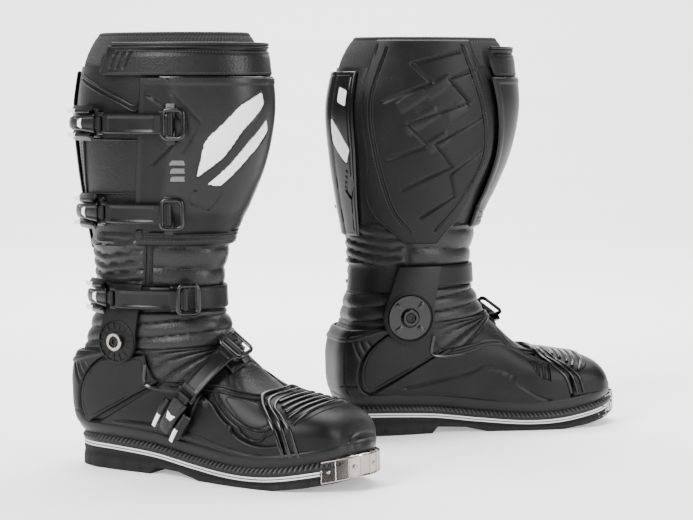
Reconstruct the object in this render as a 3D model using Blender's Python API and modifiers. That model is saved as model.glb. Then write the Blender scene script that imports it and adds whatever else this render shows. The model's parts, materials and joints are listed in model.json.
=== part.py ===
"""A pair of tall off-road riding boots with hinged ankles and lever buckles.

Each boot is drawn once, as a right boot in its own frame: +X to the toe, +Y to the inner side, +Z up,
with the floor at Z 0 and the back of the heel at X 0. The left boot is its mirror image.
"""

import math

import bmesh
import bpy
import numpy as np
from mathutils import Matrix, Vector

# ---------------------------------------------------------------- driving dimensions, in metres
SOLE_LENGTH = 0.3175
SHAFT_TOP = 0.392
GAITER_TOP = 0.425
LEATHER = 0.0030
PLATE = 0.0030
PLATE_GAP = 0.0016
FIT_GAP = 0.0005

ANKLE_X, ANKLE_Z = 0.067, 0.128
ANKLE_PIN_RADIUS = 0.0060
ANKLE_HOLE_RADIUS = 0.0064
ANKLE_CAP_RADIUS = 0.0088
TAB_INNER_Y, TAB_OUTER_Y = 0.0448, 0.0480
ARM_INNER_Y, ARM_OUTER_Y = 0.0486, 0.0520
OUTER_ARM_RADIUS, INNER_ARM_RADIUS = 0.0215, 0.0285

# Where each boot stands: heel point and turn about Z. The pair's box is centred on the origin.
RIGHT_HEEL, RIGHT_TURN = (-0.26848, -0.04794), math.radians(-29)
LEFT_HEEL, LEFT_TURN = (-0.02558, 0.10006), math.radians(17)

# Height, front X, back X and half width of the leather shaft.
SHAFT_RINGS = (
    (0.130, 0.1500, 0.0130, 0.0440),
    (0.160, 0.1495, 0.0150, 0.0450),
    (0.185, 0.1485, 0.0165, 0.0460),
    (0.215, 0.1540, 0.0140, 0.0490),
    (0.250, 0.1680, 0.0075, 0.0550),
    (0.300, 0.1900, 0.0000, 0.0625),
    (0.350, 0.2000, -0.0035, 0.0665),
    (0.392, 0.1960, 0.0040, 0.0675),
    (0.430, 0.1900, 0.0130, 0.0660),
)
# Top X and Z, bottom X and Z, half width and sideways shift of the leather foot, from toe to cuff.
FOOT_RINGS = (
    (0.3060, 0.0480, 0.3060, 0.0335, 0.0200, 0.005),
    (0.3000, 0.0600, 0.3005, 0.0315, 0.0330, 0.004),
    (0.2850, 0.0695, 0.2870, 0.0290, 0.0430, 0.003),
    (0.2530, 0.0750, 0.2560, 0.0240, 0.0500, 0.000),
    (0.2240, 0.0815, 0.2220, 0.0208, 0.0515, -0.001),
    (0.2000, 0.0950, 0.1850, 0.0212, 0.0490, -0.002),
    (0.1830, 0.1110, 0.1450, 0.0250, 0.0450, -0.002),
    (0.1740, 0.1190, 0.1000, 0.0302, 0.0420, -0.001),
    (0.1710, 0.1220, 0.0500, 0.0332, 0.0400, 0.0),
    (0.1695, 0.1235, 0.0060, 0.0420, 0.0400, 0.0),
    (0.1685, 0.1245, -0.0010, 0.0800, 0.0415, 0.0),
    (0.1680, 0.1250, 0.0030, 0.1060, 0.0430, 0.0),
    (0.1680, 0.1255, 0.0100, 0.1180, 0.0435, 0.0),
)
# X, reach to the outer side and reach to the inner side of the sole's outline.
SOLE_OUTLINE = (
    (0.0, 0.0, 0.0),
    (0.004, 0.017, 0.017),
    (0.012, 0.027, 0.027),
    (0.030, 0.036, 0.036),
    (0.060, 0.040, 0.039),
    (0.110, 0.042, 0.037),
    (0.150, 0.048, 0.041),
    (0.190, 0.055, 0.048),
    (0.225, 0.058, 0.053),
    (0.255, 0.0555, 0.0525),
    (0.280, 0.047, 0.048),
    (0.300, 0.034, 0.037),
    (0.312, 0.018, 0.021),
    (SOLE_LENGTH, 0.0, 0.0),
)
# X and height of the pale midsole band, which every layer of the sole follows.
BAND_LINE = (
    (0.0, 0.0225),
    (0.05, 0.0225),
    (0.10, 0.0195),
    (0.15, 0.0135),
    (0.20, 0.0095),
    (0.24, 0.0105),
    (0.28, 0.0165),
    (SOLE_LENGTH, 0.0240),
)
TREAD_LINE = ((0.0, 0.0), (0.098, 0.0), (0.104, 0.007), (0.135, 0.0055), (0.160, 0.0), (0.245, 0.0),
              (0.275, 0.004), (0.300, 0.009), (SOLE_LENGTH, 0.014))
HEEL_GROOVES = (0.022, 0.044, 0.066)
FORE_GROOVES = (0.172, 0.190, 0.208, 0.226, 0.244, 0.262, 0.280)
GROOVE_WIDTH, GROOVE_DEPTH = 0.004, 0.0025

# Strap hardware: radii from the pin's centre, and heights above the strap's inner face.
STRAP_THICKNESS = 0.0030
STRAP_HALF_WIDTH = 0.0105
EYE_RADIUS = 0.0031
EYE_HOLE = 0.0019
PIN_RADIUS = 0.0014
FORK_HALF_WIDTH = 0.0066
TONGUE_HALF_WIDTH = 0.0062
LEVER_HALF_WIDTH = 0.0086
RAIL_INNER, RAIL_OUTER = 0.0094, 0.0136
EAR_INNER = 0.0110


def clear_scene():
    for obj in list(bpy.data.objects):
        bpy.data.objects.remove(obj, do_unlink=True)


def smooth_table(table, at):
    """A smooth row through the table's rows, whose first column is the position. Ends are held."""
    keys = [row[0] for row in table]
    at = min(max(at, keys[0]), keys[-1])
    i = min(max(int(np.searchsorted(keys, at, side="right")) - 1, 0), len(keys) - 2)
    rows = [np.array(table[min(max(j, 0), len(table) - 1)], float) for j in (i - 1, i, i + 1, i + 2)]
    span = rows[2][0] - rows[1][0]
    t = (at - rows[1][0]) / span
    start_slope = (rows[2] - rows[0]) / max(rows[2][0] - rows[0][0], 1e-9) * span
    end_slope = (rows[3] - rows[1]) / max(rows[3][0] - rows[1][0], 1e-9) * span
    return (
        (2 * t**3 - 3 * t**2 + 1) * rows[1]
        + (t**3 - 2 * t**2 + t) * start_slope
        + (-2 * t**3 + 3 * t**2) * rows[2]
        + (t**3 - t**2) * end_slope
    )


def shaft_point(angle, height, out=0.0):
    """A point on the shaft. The angle is 0 at the shin, 90 on the outer side and 180 at the calf."""
    _, front, back, half = smooth_table(SHAFT_RINGS, height)
    turn = math.radians(angle)
    centre, reach = (front + back) / 2, (front - back) / 2
    return Vector((centre + (reach + out) * math.cos(turn), -(half + out) * math.sin(turn), height))


def foot_point(angle, ring, out=0.0):
    """A point on the foot. The angle is 0 on the instep and 90 on the outer side; ring counts from the toe."""
    table = [(i, *row) for i, row in enumerate(FOOT_RINGS)]
    _, top_x, top_z, low_x, low_z, half, shift = smooth_table(table, ring)
    turn = math.radians(angle)
    centre = Vector(((top_x + low_x) / 2, 0, (top_z + low_z) / 2))
    up = Vector((top_x - low_x, 0, top_z - low_z)) / 2
    squareness = 2.3 if math.cos(turn) > 0 else 4.4
    rise = math.copysign(abs(math.cos(turn)) ** (2 / squareness), math.cos(turn))
    side = math.copysign(abs(math.sin(turn)) ** (2 / squareness), math.sin(turn))
    along = up.normalized() * (up.length + out) * rise
    return centre + along + Vector((0, shift - (half + out) * side, 0))


# ---------------------------------------------------------------- making and placing pieces
MATERIALS = {
    "leather": ((0.020, 0.020, 0.022), 0.45, 0.0),
    "plastic": ((0.016, 0.016, 0.017), 0.40, 0.0),
    "rubber": ((0.018, 0.018, 0.018), 0.65, 0.0),
    "knit": ((0.022, 0.022, 0.024), 0.95, 0.0),
    "steel": ((0.62, 0.60, 0.56), 0.22, 1.0),
    "foam": ((0.030, 0.030, 0.032), 0.90, 0.0),
}


def material(kind):
    found = bpy.data.materials.get(kind)
    if found is None:
        found = bpy.data.materials.new(kind)
        found.use_nodes = True
        shader = found.node_tree.nodes["Principled BSDF"]
        colour, roughness, metallic = MATERIALS[kind]
        shader.inputs["Base Color"].default_value = (*colour, 1)
        shader.inputs["Roughness"].default_value = roughness
        shader.inputs["Metallic"].default_value = metallic
    return found


def new_piece(name, mesh, kind):
    obj = bpy.data.objects.new(name, mesh)
    bpy.context.scene.collection.objects.link(obj)
    mesh.materials.clear()
    mesh.materials.append(material(kind))
    return obj


def settle(obj):
    """Applies an object's modifiers, and turns a curve into a mesh with its caps joined on."""
    bpy.context.view_layer.update()
    evaluated = obj.evaluated_get(bpy.context.evaluated_depsgraph_get())
    mesh = bpy.data.meshes.new_from_object(evaluated)
    mesh.transform(obj.matrix_world)
    body = bmesh.new()
    body.from_mesh(mesh)
    bmesh.ops.remove_doubles(body, verts=body.verts, dist=1e-6)
    body.to_mesh(mesh)
    body.free()
    name, kind = obj.name, obj.data.materials[0].name
    bpy.data.objects.remove(obj)
    return new_piece(name, mesh, kind)


def combine(obj, others, operation="UNION"):
    """Joins or cuts a settled piece with others, which are used up."""
    for other in others:
        boolean = obj.modifiers.new("combine", "BOOLEAN")
        boolean.operation = operation
        boolean.solver = "EXACT"
        boolean.object = other
        obj = settle(obj)
        bpy.data.objects.remove(other)
    return obj


def wrapped(name, kind, surface, rows, columns, out, thickness, steps, closed=False, cap_start=False):
    """A sheet laid on a surface and thickened outwards, or inwards where thickness is negative.

    rows are (level, first angle, last angle); steps is the number of strips between the first and last row.
    """
    body = bmesh.new()
    bmesh.ops.create_grid(body, x_segments=columns, y_segments=steps, size=0.5)
    table = [(i / (len(rows) - 1), *row) for i, row in enumerate(rows)]
    for vertex in body.verts:
        across, along = vertex.co.x + 0.5, vertex.co.y + 0.5
        _, level, first, last = smooth_table(table, along)
        vertex.co = surface(first + (last - first) * across, level, out)
    if closed:
        bmesh.ops.remove_doubles(body, verts=body.verts, dist=1e-5)
    if cap_start:
        start = [e for e in body.edges if e.is_boundary
                 and all((v.co - surface(0, rows[0][0], out)).length < 0.045 for v in e.verts)]
        bmesh.ops.holes_fill(body, edges=start)
    bmesh.ops.recalc_face_normals(body, faces=body.faces)
    mesh = bpy.data.meshes.new(name)
    body.to_mesh(mesh)
    body.free()
    obj = new_piece(name, mesh, kind)
    middle = mesh.polygons[len(mesh.polygons) // 2]
    inwards = middle.normal.dot(middle.center - axis_point(middle.center)) < 0
    solidify = obj.modifiers.new("thickness", "SOLIDIFY")
    solidify.thickness = abs(thickness)
    solidify.offset = (-1 if inwards else 1) * (1 if thickness > 0 else -1)
    solidify.use_even_offset = True
    return settle(obj)


def axis_point(point):
    """The point on the boot's core line that is nearest a surface point: up the shaft, or along the foot."""
    if point.z > ANKLE_Z:
        return Vector((0.09, 0, point.z))
    return Vector((min(max(point.x, 0.05), 0.26), 0, 0.06))


def extruded(name, kind, outline, holes, low, high, frame):
    """A flat outline with holes, given thickness along the frame's Z from low to high."""
    curve = bpy.data.curves.new(name, "CURVE")
    curve.dimensions = "2D"
    curve.fill_mode = "BOTH"
    curve.extrude = (high - low) / 2
    for points in (outline, *holes):
        spline = curve.splines.new("POLY")
        spline.points.add(len(points) - 1)
        for target, point in zip(spline.points, points):
            target.co = (point[0], point[1], 0, 1)
        spline.use_cyclic_u = True
    curve.materials.append(material(kind))
    obj = bpy.data.objects.new(name, curve)
    bpy.context.scene.collection.objects.link(obj)
    obj.matrix_world = frame @ Matrix.Translation((0, 0, (low + high) / 2))
    return settle(obj)


def turned(name, kind, profile, frame, steps=14):
    """A profile of (radius, height) points, from the top down, turned about the frame's Z."""
    body = bmesh.new()
    verts = [body.verts.new((radius, 0, height)) for radius, height in profile]
    for a, b in zip(verts, verts[1:]):
        body.edges.new((a, b))
    mesh = bpy.data.meshes.new(name)
    body.to_mesh(mesh)
    body.free()
    obj = new_piece(name, mesh, kind)
    screw = obj.modifiers.new("turn", "SCREW")
    screw.axis = "Z"
    screw.steps = screw.render_steps = steps
    screw.use_merge_vertices = True
    screw.merge_threshold = 0.00001
    obj = settle(obj)
    obj.data.transform(frame)
    return obj


def circle(centre, radius, count=8):
    return [
        (centre[0] + radius * math.cos(2 * math.pi * i / count), centre[1] + radius * math.sin(2 * math.pi * i / count))
        for i in range(count)
    ]


# ---------------------------------------------------------------- the sole
def sole_reach(x):
    """The sole outline's reach to the outer and to the inner side at x."""
    xs = [row[0] for row in SOLE_OUTLINE]
    return tuple(float(np.interp(x, xs, [row[i] for row in SOLE_OUTLINE])) for i in (1, 2))


def line_height(line, x):
    return float(np.interp(x, [p[0] for p in line], [p[1] for p in line]))


def band_height(x):
    return float(smooth_table(BAND_LINE, x)[1])


def tread_height(x):
    grooved = any(abs(x - g) < GROOVE_WIDTH / 2 for g in HEEL_GROOVES + FORE_GROOVES)
    return line_height(TREAD_LINE, x) + (GROOVE_DEPTH if grooved else 0)


def tread_stations():
    """X positions that give each groove two square walls."""
    tiny = 0.0002
    found = {0.002, 0.007, 0.013, 0.098, 0.104, 0.12, 0.135, 0.150, 0.160, 0.272, 0.290, 0.298, 0.306, 0.312, 0.3162}
    for groove in HEEL_GROOVES + FORE_GROOVES:
        for side in (-1, 1):
            edge = groove + side * GROOVE_WIDTH / 2
            found.update((round(edge - tiny, 5), round(edge + tiny, 5)))
    return sorted(found)


PLAIN_STATIONS = (0.002, 0.007, 0.013, 0.022, 0.034, 0.055, 0.08, 0.105, 0.13, 0.155, 0.18, 0.205, 0.23,
                  0.252, 0.27, 0.285, 0.298, 0.306, 0.312, 0.3162)


def sole_layer(name, kind, low, high, out, stations=PLAIN_STATIONS):
    """A slab with the sole's outline moved out sideways; low and high give its faces' heights at x."""
    body = bmesh.new()
    stretch = 1 + out / (SOLE_LENGTH / 2)
    count = len(stations)
    bmesh.ops.create_grid(body, x_segments=count - 1, y_segments=2, size=1)
    top = list(body.verts)
    for vertex in top:
        x = stations[round((vertex.co.x + 1) / 2 * (count - 1))]
        outer, inner = sole_reach(x)
        side = max((inner if vertex.co.y > 0 else outer) + out, 0.002) * vertex.co.y
        vertex.co = ((x - SOLE_LENGTH / 2) * stretch + SOLE_LENGTH / 2, side, high(x))
    made = bmesh.ops.extrude_face_region(body, geom=body.faces[:])
    lowered = [v for v in made["geom"] if isinstance(v, bmesh.types.BMVert)]
    for vertex in lowered:
        x = (vertex.co.x - SOLE_LENGTH / 2) / stretch + SOLE_LENGTH / 2
        vertex.co.z = low(x)
    bmesh.ops.recalc_face_normals(body, faces=body.faces)
    mesh = bpy.data.meshes.new(name)
    body.to_mesh(mesh)
    body.free()
    return new_piece(name, mesh, kind)


def make_sole():
    """The outsole with its midsole band, the welt above it, and the footbed inside the boot."""
    band_top, welt_top = 0.0018, 0.0090
    bed_low = welt_top + LEATHER + 0.0080
    return {
        "outsole": sole_layer("outsole", "rubber", tread_height, lambda x: band_height(x) + band_top,
                              0.0, tread_stations()),
        "welt": sole_layer("welt", "leather", lambda x: band_height(x) + band_top + FIT_GAP,
                           lambda x: band_height(x) + welt_top, 0.0),
        "footbed": sole_layer("footbed", "foam", lambda x: band_height(x) + bed_low,
                              lambda x: band_height(x) + bed_low + 0.0035, -0.0235),
    }


def toe_guard_point(angle, height, out=0.0):
    """The toe's outline as an ellipse, with the guard rising along the toe's spring."""
    turn = math.radians(angle)
    centre, reach, half = 0.262, 0.0562, 0.0480
    x = centre + (reach + out) * math.cos(turn)
    spring = band_height(x) - band_height(SOLE_LENGTH)
    return Vector((x, -(half + out) * math.sin(turn), height + spring))


def make_toe_guard():
    return wrapped("toe_guard", "steel", toe_guard_point, ((0.0155, -62, 62), (0.0370, -62, 62)),
                   10, 0.0022, 0.0016, 1)


# ---------------------------------------------------------------- foot and shaft shells
def side_frame(turn):
    """A frame centred on the ankle's axis, whose Z points to the outer side at 90 and the inner side at -90."""
    return Matrix.Translation((ANKLE_X, 0, ANKLE_Z)) @ Matrix.Rotation(math.radians(turn), 4, "X")


def make_tab(turn):
    """The heel counter's ear, which rises beside the cuff to hold an ankle pivot."""
    radius = 0.0145
    up = 1 if turn > 0 else -1
    rim = [(radius * math.cos(a), up * radius * math.sin(a)) for a in np.linspace(-0.3, math.pi + 0.3, 12)]
    outline = rim + [(-0.022, -up * 0.0160), (0.012, -up * 0.0125)]
    return extruded("tab", "plastic", outline, [circle((0, 0), ANKLE_HOLE_RADIUS, 14)],
                    TAB_INNER_Y, TAB_OUTER_Y, side_frame(turn))


def make_foot():
    last = len(FOOT_RINGS) - 1
    upper = wrapped("foot_upper", "leather", foot_point, ((0, 180, -180), (last, 180, -180)),
                    18, 0.0, -LEATHER, 13, closed=True, cap_start=True)
    toe_cap = wrapped("toe_cap", "plastic", foot_point, ((0.30, 96, -96), (1.6, 98, -98), (3.3, 100, -100)),
                      12, PLATE_GAP, PLATE, 4)
    counter = wrapped("heel_counter", "plastic", foot_point,
                      ((8.75, 232, 128), (9.7, 234, 126), (10.8, 256, 104), (11.7, 272, 88)),
                      12, PLATE_GAP, PLATE, 5)
    counter = combine(counter, [make_tab(turn) for turn in (90, -90)])
    inner = wrapped("inner_foot_guard", "rubber", foot_point,
                    ((3.6, -50, -116), (5.2, -48, -116), (6.6, -58, -118), (8.45, -76, -122)),
                    5, PLATE_GAP, PLATE, 7)
    outer = wrapped("outer_foot_guard", "plastic", foot_point,
                    ((3.6, 116, 66), (5.2, 116, 72), (6.6, 118, 76), (8.45, 122, 80)),
                    5, PLATE_GAP, PLATE, 7)
    return {"foot_upper": upper, "toe_cap": toe_cap, "heel_counter": counter,
            "inner_foot_guard": inner, "outer_foot_guard": outer}


def shaft_low_edge(angle):
    """The leather shaft's lower edge, higher over the instep than at the heel."""
    return 0.155 + 0.003 * math.cos(math.radians(angle))


def shaft_body_point(angle, share, out=0.0):
    low = shaft_low_edge(angle)
    return shaft_point(angle, low + (SHAFT_TOP - low) * share, out)


def bellows_point(angle, share, out=0.0):
    """Between the foot's cuff and the shaft's lower edge, bulging a little in the middle."""
    cuff = foot_point(angle, len(FOOT_RINGS) - 1, -0.0002)
    cuff.z += 0.0024
    edge = shaft_point(angle, shaft_low_edge(angle) - 0.0010, -0.0002)
    return cuff.lerp(edge, share)


def gaiter_point(angle, share, out=0.0):
    """A knitted cuff that stands on the shaft's rim and leans in to its top."""
    height = SHAFT_TOP + 0.0006 + (GAITER_TOP - SHAFT_TOP - 0.0006) * share
    lean = -0.0030 - 0.0100 * share**2.2
    return shaft_point(angle, height, lean + out)


def make_shaft():
    upper = wrapped("shaft_upper", "leather", shaft_body_point, ((0, 180, -180), (1, 180, -180)),
                    20, 0.0, -LEATHER, 6, closed=True)
    bellows = wrapped("ankle_bellows", "leather", bellows_point, ((0, 180, -180), (1, 180, -180)),
                      18, 0.0, -0.0025, 1, closed=True)
    gaiter = wrapped("gaiter", "knit", gaiter_point, ((0, 180, -180), (1, 180, -180)),
                     18, 0.0, -0.0060, 2, closed=True)
    shin = wrapped("shin_plate", "plastic", shaft_point, ((0.222, 84, -44), (0.300, 86, -46), (0.382, 84, -58)),
                   14, PLATE_GAP, PLATE, 5)
    calf = wrapped("calf_plate", "plastic", shaft_point, ((0.214, 208, 160), (0.300, 212, 158), (0.388, 210, 158)),
                   6, PLATE_GAP, PLATE, 4)
    guard = wrapped("inner_calf_guard", "rubber", shaft_point,
                    ((0.212, -74, -112), (0.245, -57, -138), (0.300, -50, -140), (0.360, -60, -143),
                     (0.421, -74, -138)), 7, PLATE_GAP, PLATE, 7)
    flap = wrapped("collar_flap", "leather", shaft_point, ((0.385, 108, -54), (0.398, 111, -58), (0.412, 106, -58)),
                   14, PLATE_GAP, PLATE, 2)
    return {"shaft_upper": upper, "ankle_bellows": bellows, "gaiter": gaiter, "shin_plate": shin,
            "calf_plate": calf, "inner_calf_guard": guard, "collar_flap": flap}


# ---------------------------------------------------------------- ankle hinge
def make_arm(turn, radius, top, rear, front):
    """A disc round the ankle pivot, with an arm that runs up the shaft to a flat top edge."""
    up = 1 if turn > 0 else -1
    disc = [(radius * math.cos(a), up * radius * math.sin(a)) for a in np.linspace(2.85, 6.55, 15)]
    return extruded("arm", "plastic", disc + [(front, up * top), (rear, up * top)],
                    [circle((0, 0), ANKLE_HOLE_RADIUS, 14)], ARM_INNER_Y, ARM_OUTER_Y, side_frame(turn))


def make_ankle_frame(fittings):
    """The two arms, the yoke that joins them round the shin, and the ankle strap's catch and anchor."""
    outer = make_arm(90, OUTER_ARM_RADIUS, 0.056, -0.006, 0.030)
    inner = make_arm(-90, INNER_ARM_RADIUS, 0.054, -0.012, 0.036)
    yoke = wrapped("ankle_frame", "plastic", shaft_point, ((0.160, 97, -97), (0.182, 97, -97)),
                   16, 0.0032, 0.0032, 1)
    return combine(yoke, [outer, inner, *fittings])


def make_pivot(name, turn):
    """A turned pin with a recessed cap, which keeps the arm on the heel counter's ear."""
    cap_low, cap_high = ARM_OUTER_Y + 0.0004, ARM_OUTER_Y + 0.0055
    rim, recess, recess_radius = 0.0008, 0.0015, 0.0050
    profile = ((0, cap_high - recess), (recess_radius, cap_high - recess), (recess_radius, cap_high),
               (ANKLE_CAP_RADIUS - rim, cap_high), (ANKLE_CAP_RADIUS, cap_high - rim),
               (ANKLE_CAP_RADIUS, cap_low), (ANKLE_PIN_RADIUS, cap_low), (ANKLE_PIN_RADIUS, TAB_INNER_Y),
               (0, TAB_INNER_Y))
    return turned(name, "steel", profile, side_frame(turn))


# ---------------------------------------------------------------- straps and buckles
# Each strap runs on a circle through three points of the boot: its front pin, its middle and the lever's tip.
# A point is its angle, level and distance out from the leather; a pad is its first and last angle, its first
# and last level, and its two faces' distances. The root is how far under the strap the rails and ears reach.
BUCKLES = {
    "top": {
        "body": "shaft", "surface": shaft_point, "share": 0.60, "root": -0.0060,
        "guides": ((66, 0.338, 0.0093), (100, 0.338, 0.0098), (136, 0.338, 0.0093)),
        "catch": (112, 140, 0.3240, 0.3520, 0.0006, 0.0060),
        "anchor": (74, 58, 0.3240, 0.3520, 0.0020, 0.0060),
    },
    "middle": {
        "body": "shaft", "surface": shaft_point, "share": 0.58, "root": -0.0066,
        "guides": ((61, 0.253, 0.0098), (101, 0.253, 0.0112), (142, 0.253, 0.0098)),
        "catch": (112, 146, 0.2390, 0.2670, 0.0006, 0.0056),
        "anchor": (70, 52, 0.2390, 0.2670, 0.0020, 0.0056),
    },
    "ankle": {
        "body": "shaft", "surface": shaft_point, "share": 0.64, "root": -0.0056,
        "guides": ((44, 0.171, 0.0112), (88, 0.171, 0.0135), (134, 0.171, 0.0105)),
        "catch": (101, 137, 0.1580, 0.1840, 0.0006, 0.0068),
        "anchor": (56, 32, 0.1580, 0.1840, 0.0040, 0.0084),
    },
    "instep": {
        "body": "foot", "surface": foot_point, "share": 0.60, "root": -0.0058,
        "guides": ((18, 6.85, 0.0120), (60, 6.70, 0.0118), (103, 6.75, 0.0108)),
        "catch": (78, 107, 6.25, 7.25, 0.0025, 0.0072),
        "anchor": (33, 3, 5.70, 8.00, 0.0018, 0.0056),
    },
}


class Ring:
    """The circle that a strap's inner face follows, in a frame whose X points to the strap's front pin."""

    def __init__(self, guides, share):
        first, second, third = guides
        a, b = second - first, third - first
        normal = a.cross(b)
        to_centre = (normal.cross(a) * b.length_squared + b.cross(normal) * a.length_squared)
        centre = first + to_centre / (2 * normal.length_squared)
        self.radius = (first - centre).length
        x_axis, z_axis = (first - centre).normalized(), normal.normalized()
        y_axis = z_axis.cross(x_axis)
        self.frame = Matrix.Translation(centre) @ Matrix((x_axis, y_axis, z_axis)).transposed().to_4x4()
        local = self.frame.inverted() @ third
        self.end = math.atan2(local.y, local.x)
        self.lever = self.end * share

    def at(self, turn, out=0.0):
        reach = self.radius + out
        return (reach * math.cos(turn), reach * math.sin(turn))

    def arc(self, start, end, out, count=7):
        return [self.at(start + (end - start) * i / (count - 1), out) for i in range(count)]

    def world(self, turn, out=0.0):
        return self.frame @ Vector((*self.at(turn, out), 0))

    def turn_of(self, length):
        return length / self.radius


def band(ring, name, start, end, low, high, first, last, count=7):
    """A curved bar of the ring, from one height to another and from one width to another."""
    outline = ring.arc(start, end, high, count) + ring.arc(end, start, low, count)
    return extruded(name, "plastic", outline, [], first, last, ring.frame)


def eye_arc(ring, turn, radius, start, end, count=6):
    """Part of the circle round a pin: 0 points along the strap and 90 points outwards."""
    centre = ring.at(turn, STRAP_THICKNESS / 2)
    points = []
    for i in range(count):
        a = turn + math.pi / 2 - math.radians(start + (end - start) * i / (count - 1))
        points.append((centre[0] + radius * math.cos(a), centre[1] + radius * math.sin(a)))
    return points


def make_strap(ring, name):
    """A band with an eye at its front, and at its rear a fork with the pin that the lever turns on."""
    lever_turn = ring.lever
    clear = ring.turn_of(0.006)
    outline = (
        ring.arc(clear, lever_turn - clear, STRAP_THICKNESS, 8)
        + eye_arc(ring, lever_turn, EYE_RADIUS, 90, -90)
        + ring.arc(lever_turn - clear, clear, 0, 8)
        + eye_arc(ring, 0, EYE_RADIUS, 270, 90)
    )
    eye = circle(ring.at(0, STRAP_THICKNESS / 2), EYE_HOLE)
    strap = extruded(name, "plastic", outline, [eye], -STRAP_HALF_WIDTH, STRAP_HALF_WIDTH, ring.frame)
    notch = band(ring, "notch", lever_turn - ring.turn_of(0.0048), lever_turn + ring.turn_of(0.006),
                 -0.004, 0.007, -FORK_HALF_WIDTH, FORK_HALF_WIDTH, 3)
    strap = combine(strap, [notch], "DIFFERENCE")
    pin_ends = STRAP_HALF_WIDTH - 0.0010
    pin = extruded("pin", "plastic", circle(ring.at(lever_turn, STRAP_THICKNESS / 2), PIN_RADIUS), [],
                   -pin_ends, pin_ends, ring.frame)
    return combine(strap, [pin])


def make_lever(ring, name):
    """A tongue with an eye, and a wider handle that narrows to its tip."""
    lever_turn = ring.lever
    near, wide = ring.turn_of(0.0036), ring.turn_of(0.0050)
    tongue_end = lever_turn + ring.turn_of(0.012)
    low, high = -0.0006, 0.0044
    tongue = (
        ring.arc(tongue_end, lever_turn + near, low + 0.0006, 4)
        + eye_arc(ring, lever_turn, EYE_RADIUS - 0.0001, 270, 90)
        + ring.arc(lever_turn + near, tongue_end, high - 0.0010, 4)
    )
    hole = circle(ring.at(lever_turn, STRAP_THICKNESS / 2), EYE_HOLE)
    lever = extruded(name, "plastic", tongue, [hole], -TONGUE_HALF_WIDTH, TONGUE_HALF_WIDTH, ring.frame)
    start = lever_turn + wide
    handle_outline = (ring.arc(start, ring.end - ring.turn_of(0.008), high, 5) + [ring.at(ring.end, 0.0022)]
                      + ring.arc(ring.end, start, low, 6))
    handle = extruded("handle", "plastic", handle_outline, [], -LEVER_HALF_WIDTH, LEVER_HALF_WIDTH, ring.frame)
    return combine(lever, [handle])


def make_pad(name, buckle, part):
    """The base of a catch or an anchor, which follows the boot's surface."""
    first, last, low_level, high_level, low, high = buckle[part]
    return wrapped(name, "plastic", buckle["surface"], ((low_level, first, last), (high_level, first, last)),
                   5, low, high - low, 3 if buckle["body"] == "foot" else 1)


def make_catch(ring, name, buckle):
    """The base under the lever, with a rail on each side of it."""
    start, end = ring.lever + ring.turn_of(0.0125), ring.end + ring.turn_of(0.001)
    rails = [band(ring, "rail", start, end, buckle["root"], 0.0050, min(side * RAIL_INNER, side * RAIL_OUTER),
                  max(side * RAIL_INNER, side * RAIL_OUTER)) for side in (-1, 1)]
    return combine(make_pad(name, buckle, "catch"), rails)


def make_anchor(ring, name, buckle):
    """The base that holds the strap's front end, with two ears and a pin."""
    reach = ring.turn_of(0.006)
    ears = [band(ring, "ear", -reach, reach, buckle["root"], 0.0045, min(side * EAR_INNER, side * RAIL_OUTER),
                 max(side * EAR_INNER, side * RAIL_OUTER), 3) for side in (-1, 1)]
    pin_ends = (EAR_INNER + RAIL_OUTER) / 2
    pin = extruded("pin", "plastic", circle(ring.at(0, STRAP_THICKNESS / 2), PIN_RADIUS), [],
                   -pin_ends, pin_ends, ring.frame)
    return combine(make_pad(name, buckle, "anchor"), [*ears, pin])


def make_buckles():
    """The straps and levers, each buckle's fixed fittings, and the hinges of the moving pieces."""
    moving, fixed, hinges = {}, {}, []
    for name, buckle in BUCKLES.items():
        ring = Ring([buckle["surface"](*guide) for guide in buckle["guides"]], buckle["share"])
        moving[f"{name}_strap"] = make_strap(ring, f"{name}_strap")
        moving[f"{name}_lever"] = make_lever(ring, f"{name}_lever")
        fixed[f"{name}_catch"] = make_catch(ring, f"{name}_catch", buckle)
        fixed[f"{name}_anchor"] = make_anchor(ring, f"{name}_anchor", buckle)
        axis = ring.frame.to_3x3() @ Vector((0, 0, -1))
        hinges.append((f"{name}_strap", buckle["body"], ring.world(0, STRAP_THICKNESS / 2), axis))
        hinges.append((f"{name}_lever", f"{name}_strap", ring.world(ring.lever, STRAP_THICKNESS / 2), axis))
    return moving, fixed, hinges


# ---------------------------------------------------------------- assembly
SHAFT_PIECES = ("shaft_upper", "gaiter", "shin_plate", "calf_plate", "inner_calf_guard", "ankle_frame",
                "top_catch", "middle_catch")
MIRROR = Matrix.Diagonal((1, -1, 1, 1))


def make_boot():
    """One right boot's pieces by name, with its hinges as (body, parent body, point, axis)."""
    pieces = make_sole()
    pieces["toe_guard"] = make_toe_guard()
    pieces.update(make_foot())
    pieces.update(make_shaft())
    moving, fixed, hinges = make_buckles()
    pieces.update(moving)
    shin_fittings = [fixed.pop("top_anchor"), fixed.pop("middle_anchor")]
    pieces["shin_plate"] = combine(pieces["shin_plate"], shin_fittings)
    pieces["outer_foot_guard"] = combine(pieces["outer_foot_guard"], [fixed.pop("instep_catch")])
    pieces["ankle_frame"] = make_ankle_frame([fixed.pop("ankle_catch"), fixed.pop("ankle_anchor")])
    pieces.update(fixed)
    pieces["outer_pivot"] = make_pivot("outer_pivot", 90)
    pieces["inner_pivot"] = make_pivot("inner_pivot", -90)
    flap_hinge = shaft_point(-58, 0.398, PLATE_GAP)
    return pieces, [("shaft", "foot", Vector((ANKLE_X, 0, ANKLE_Z)), Vector((0, 1, 0))),
                    ("collar_flap", "shaft", flap_hinge, Vector((0, 0, 1))), *hinges]


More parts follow.
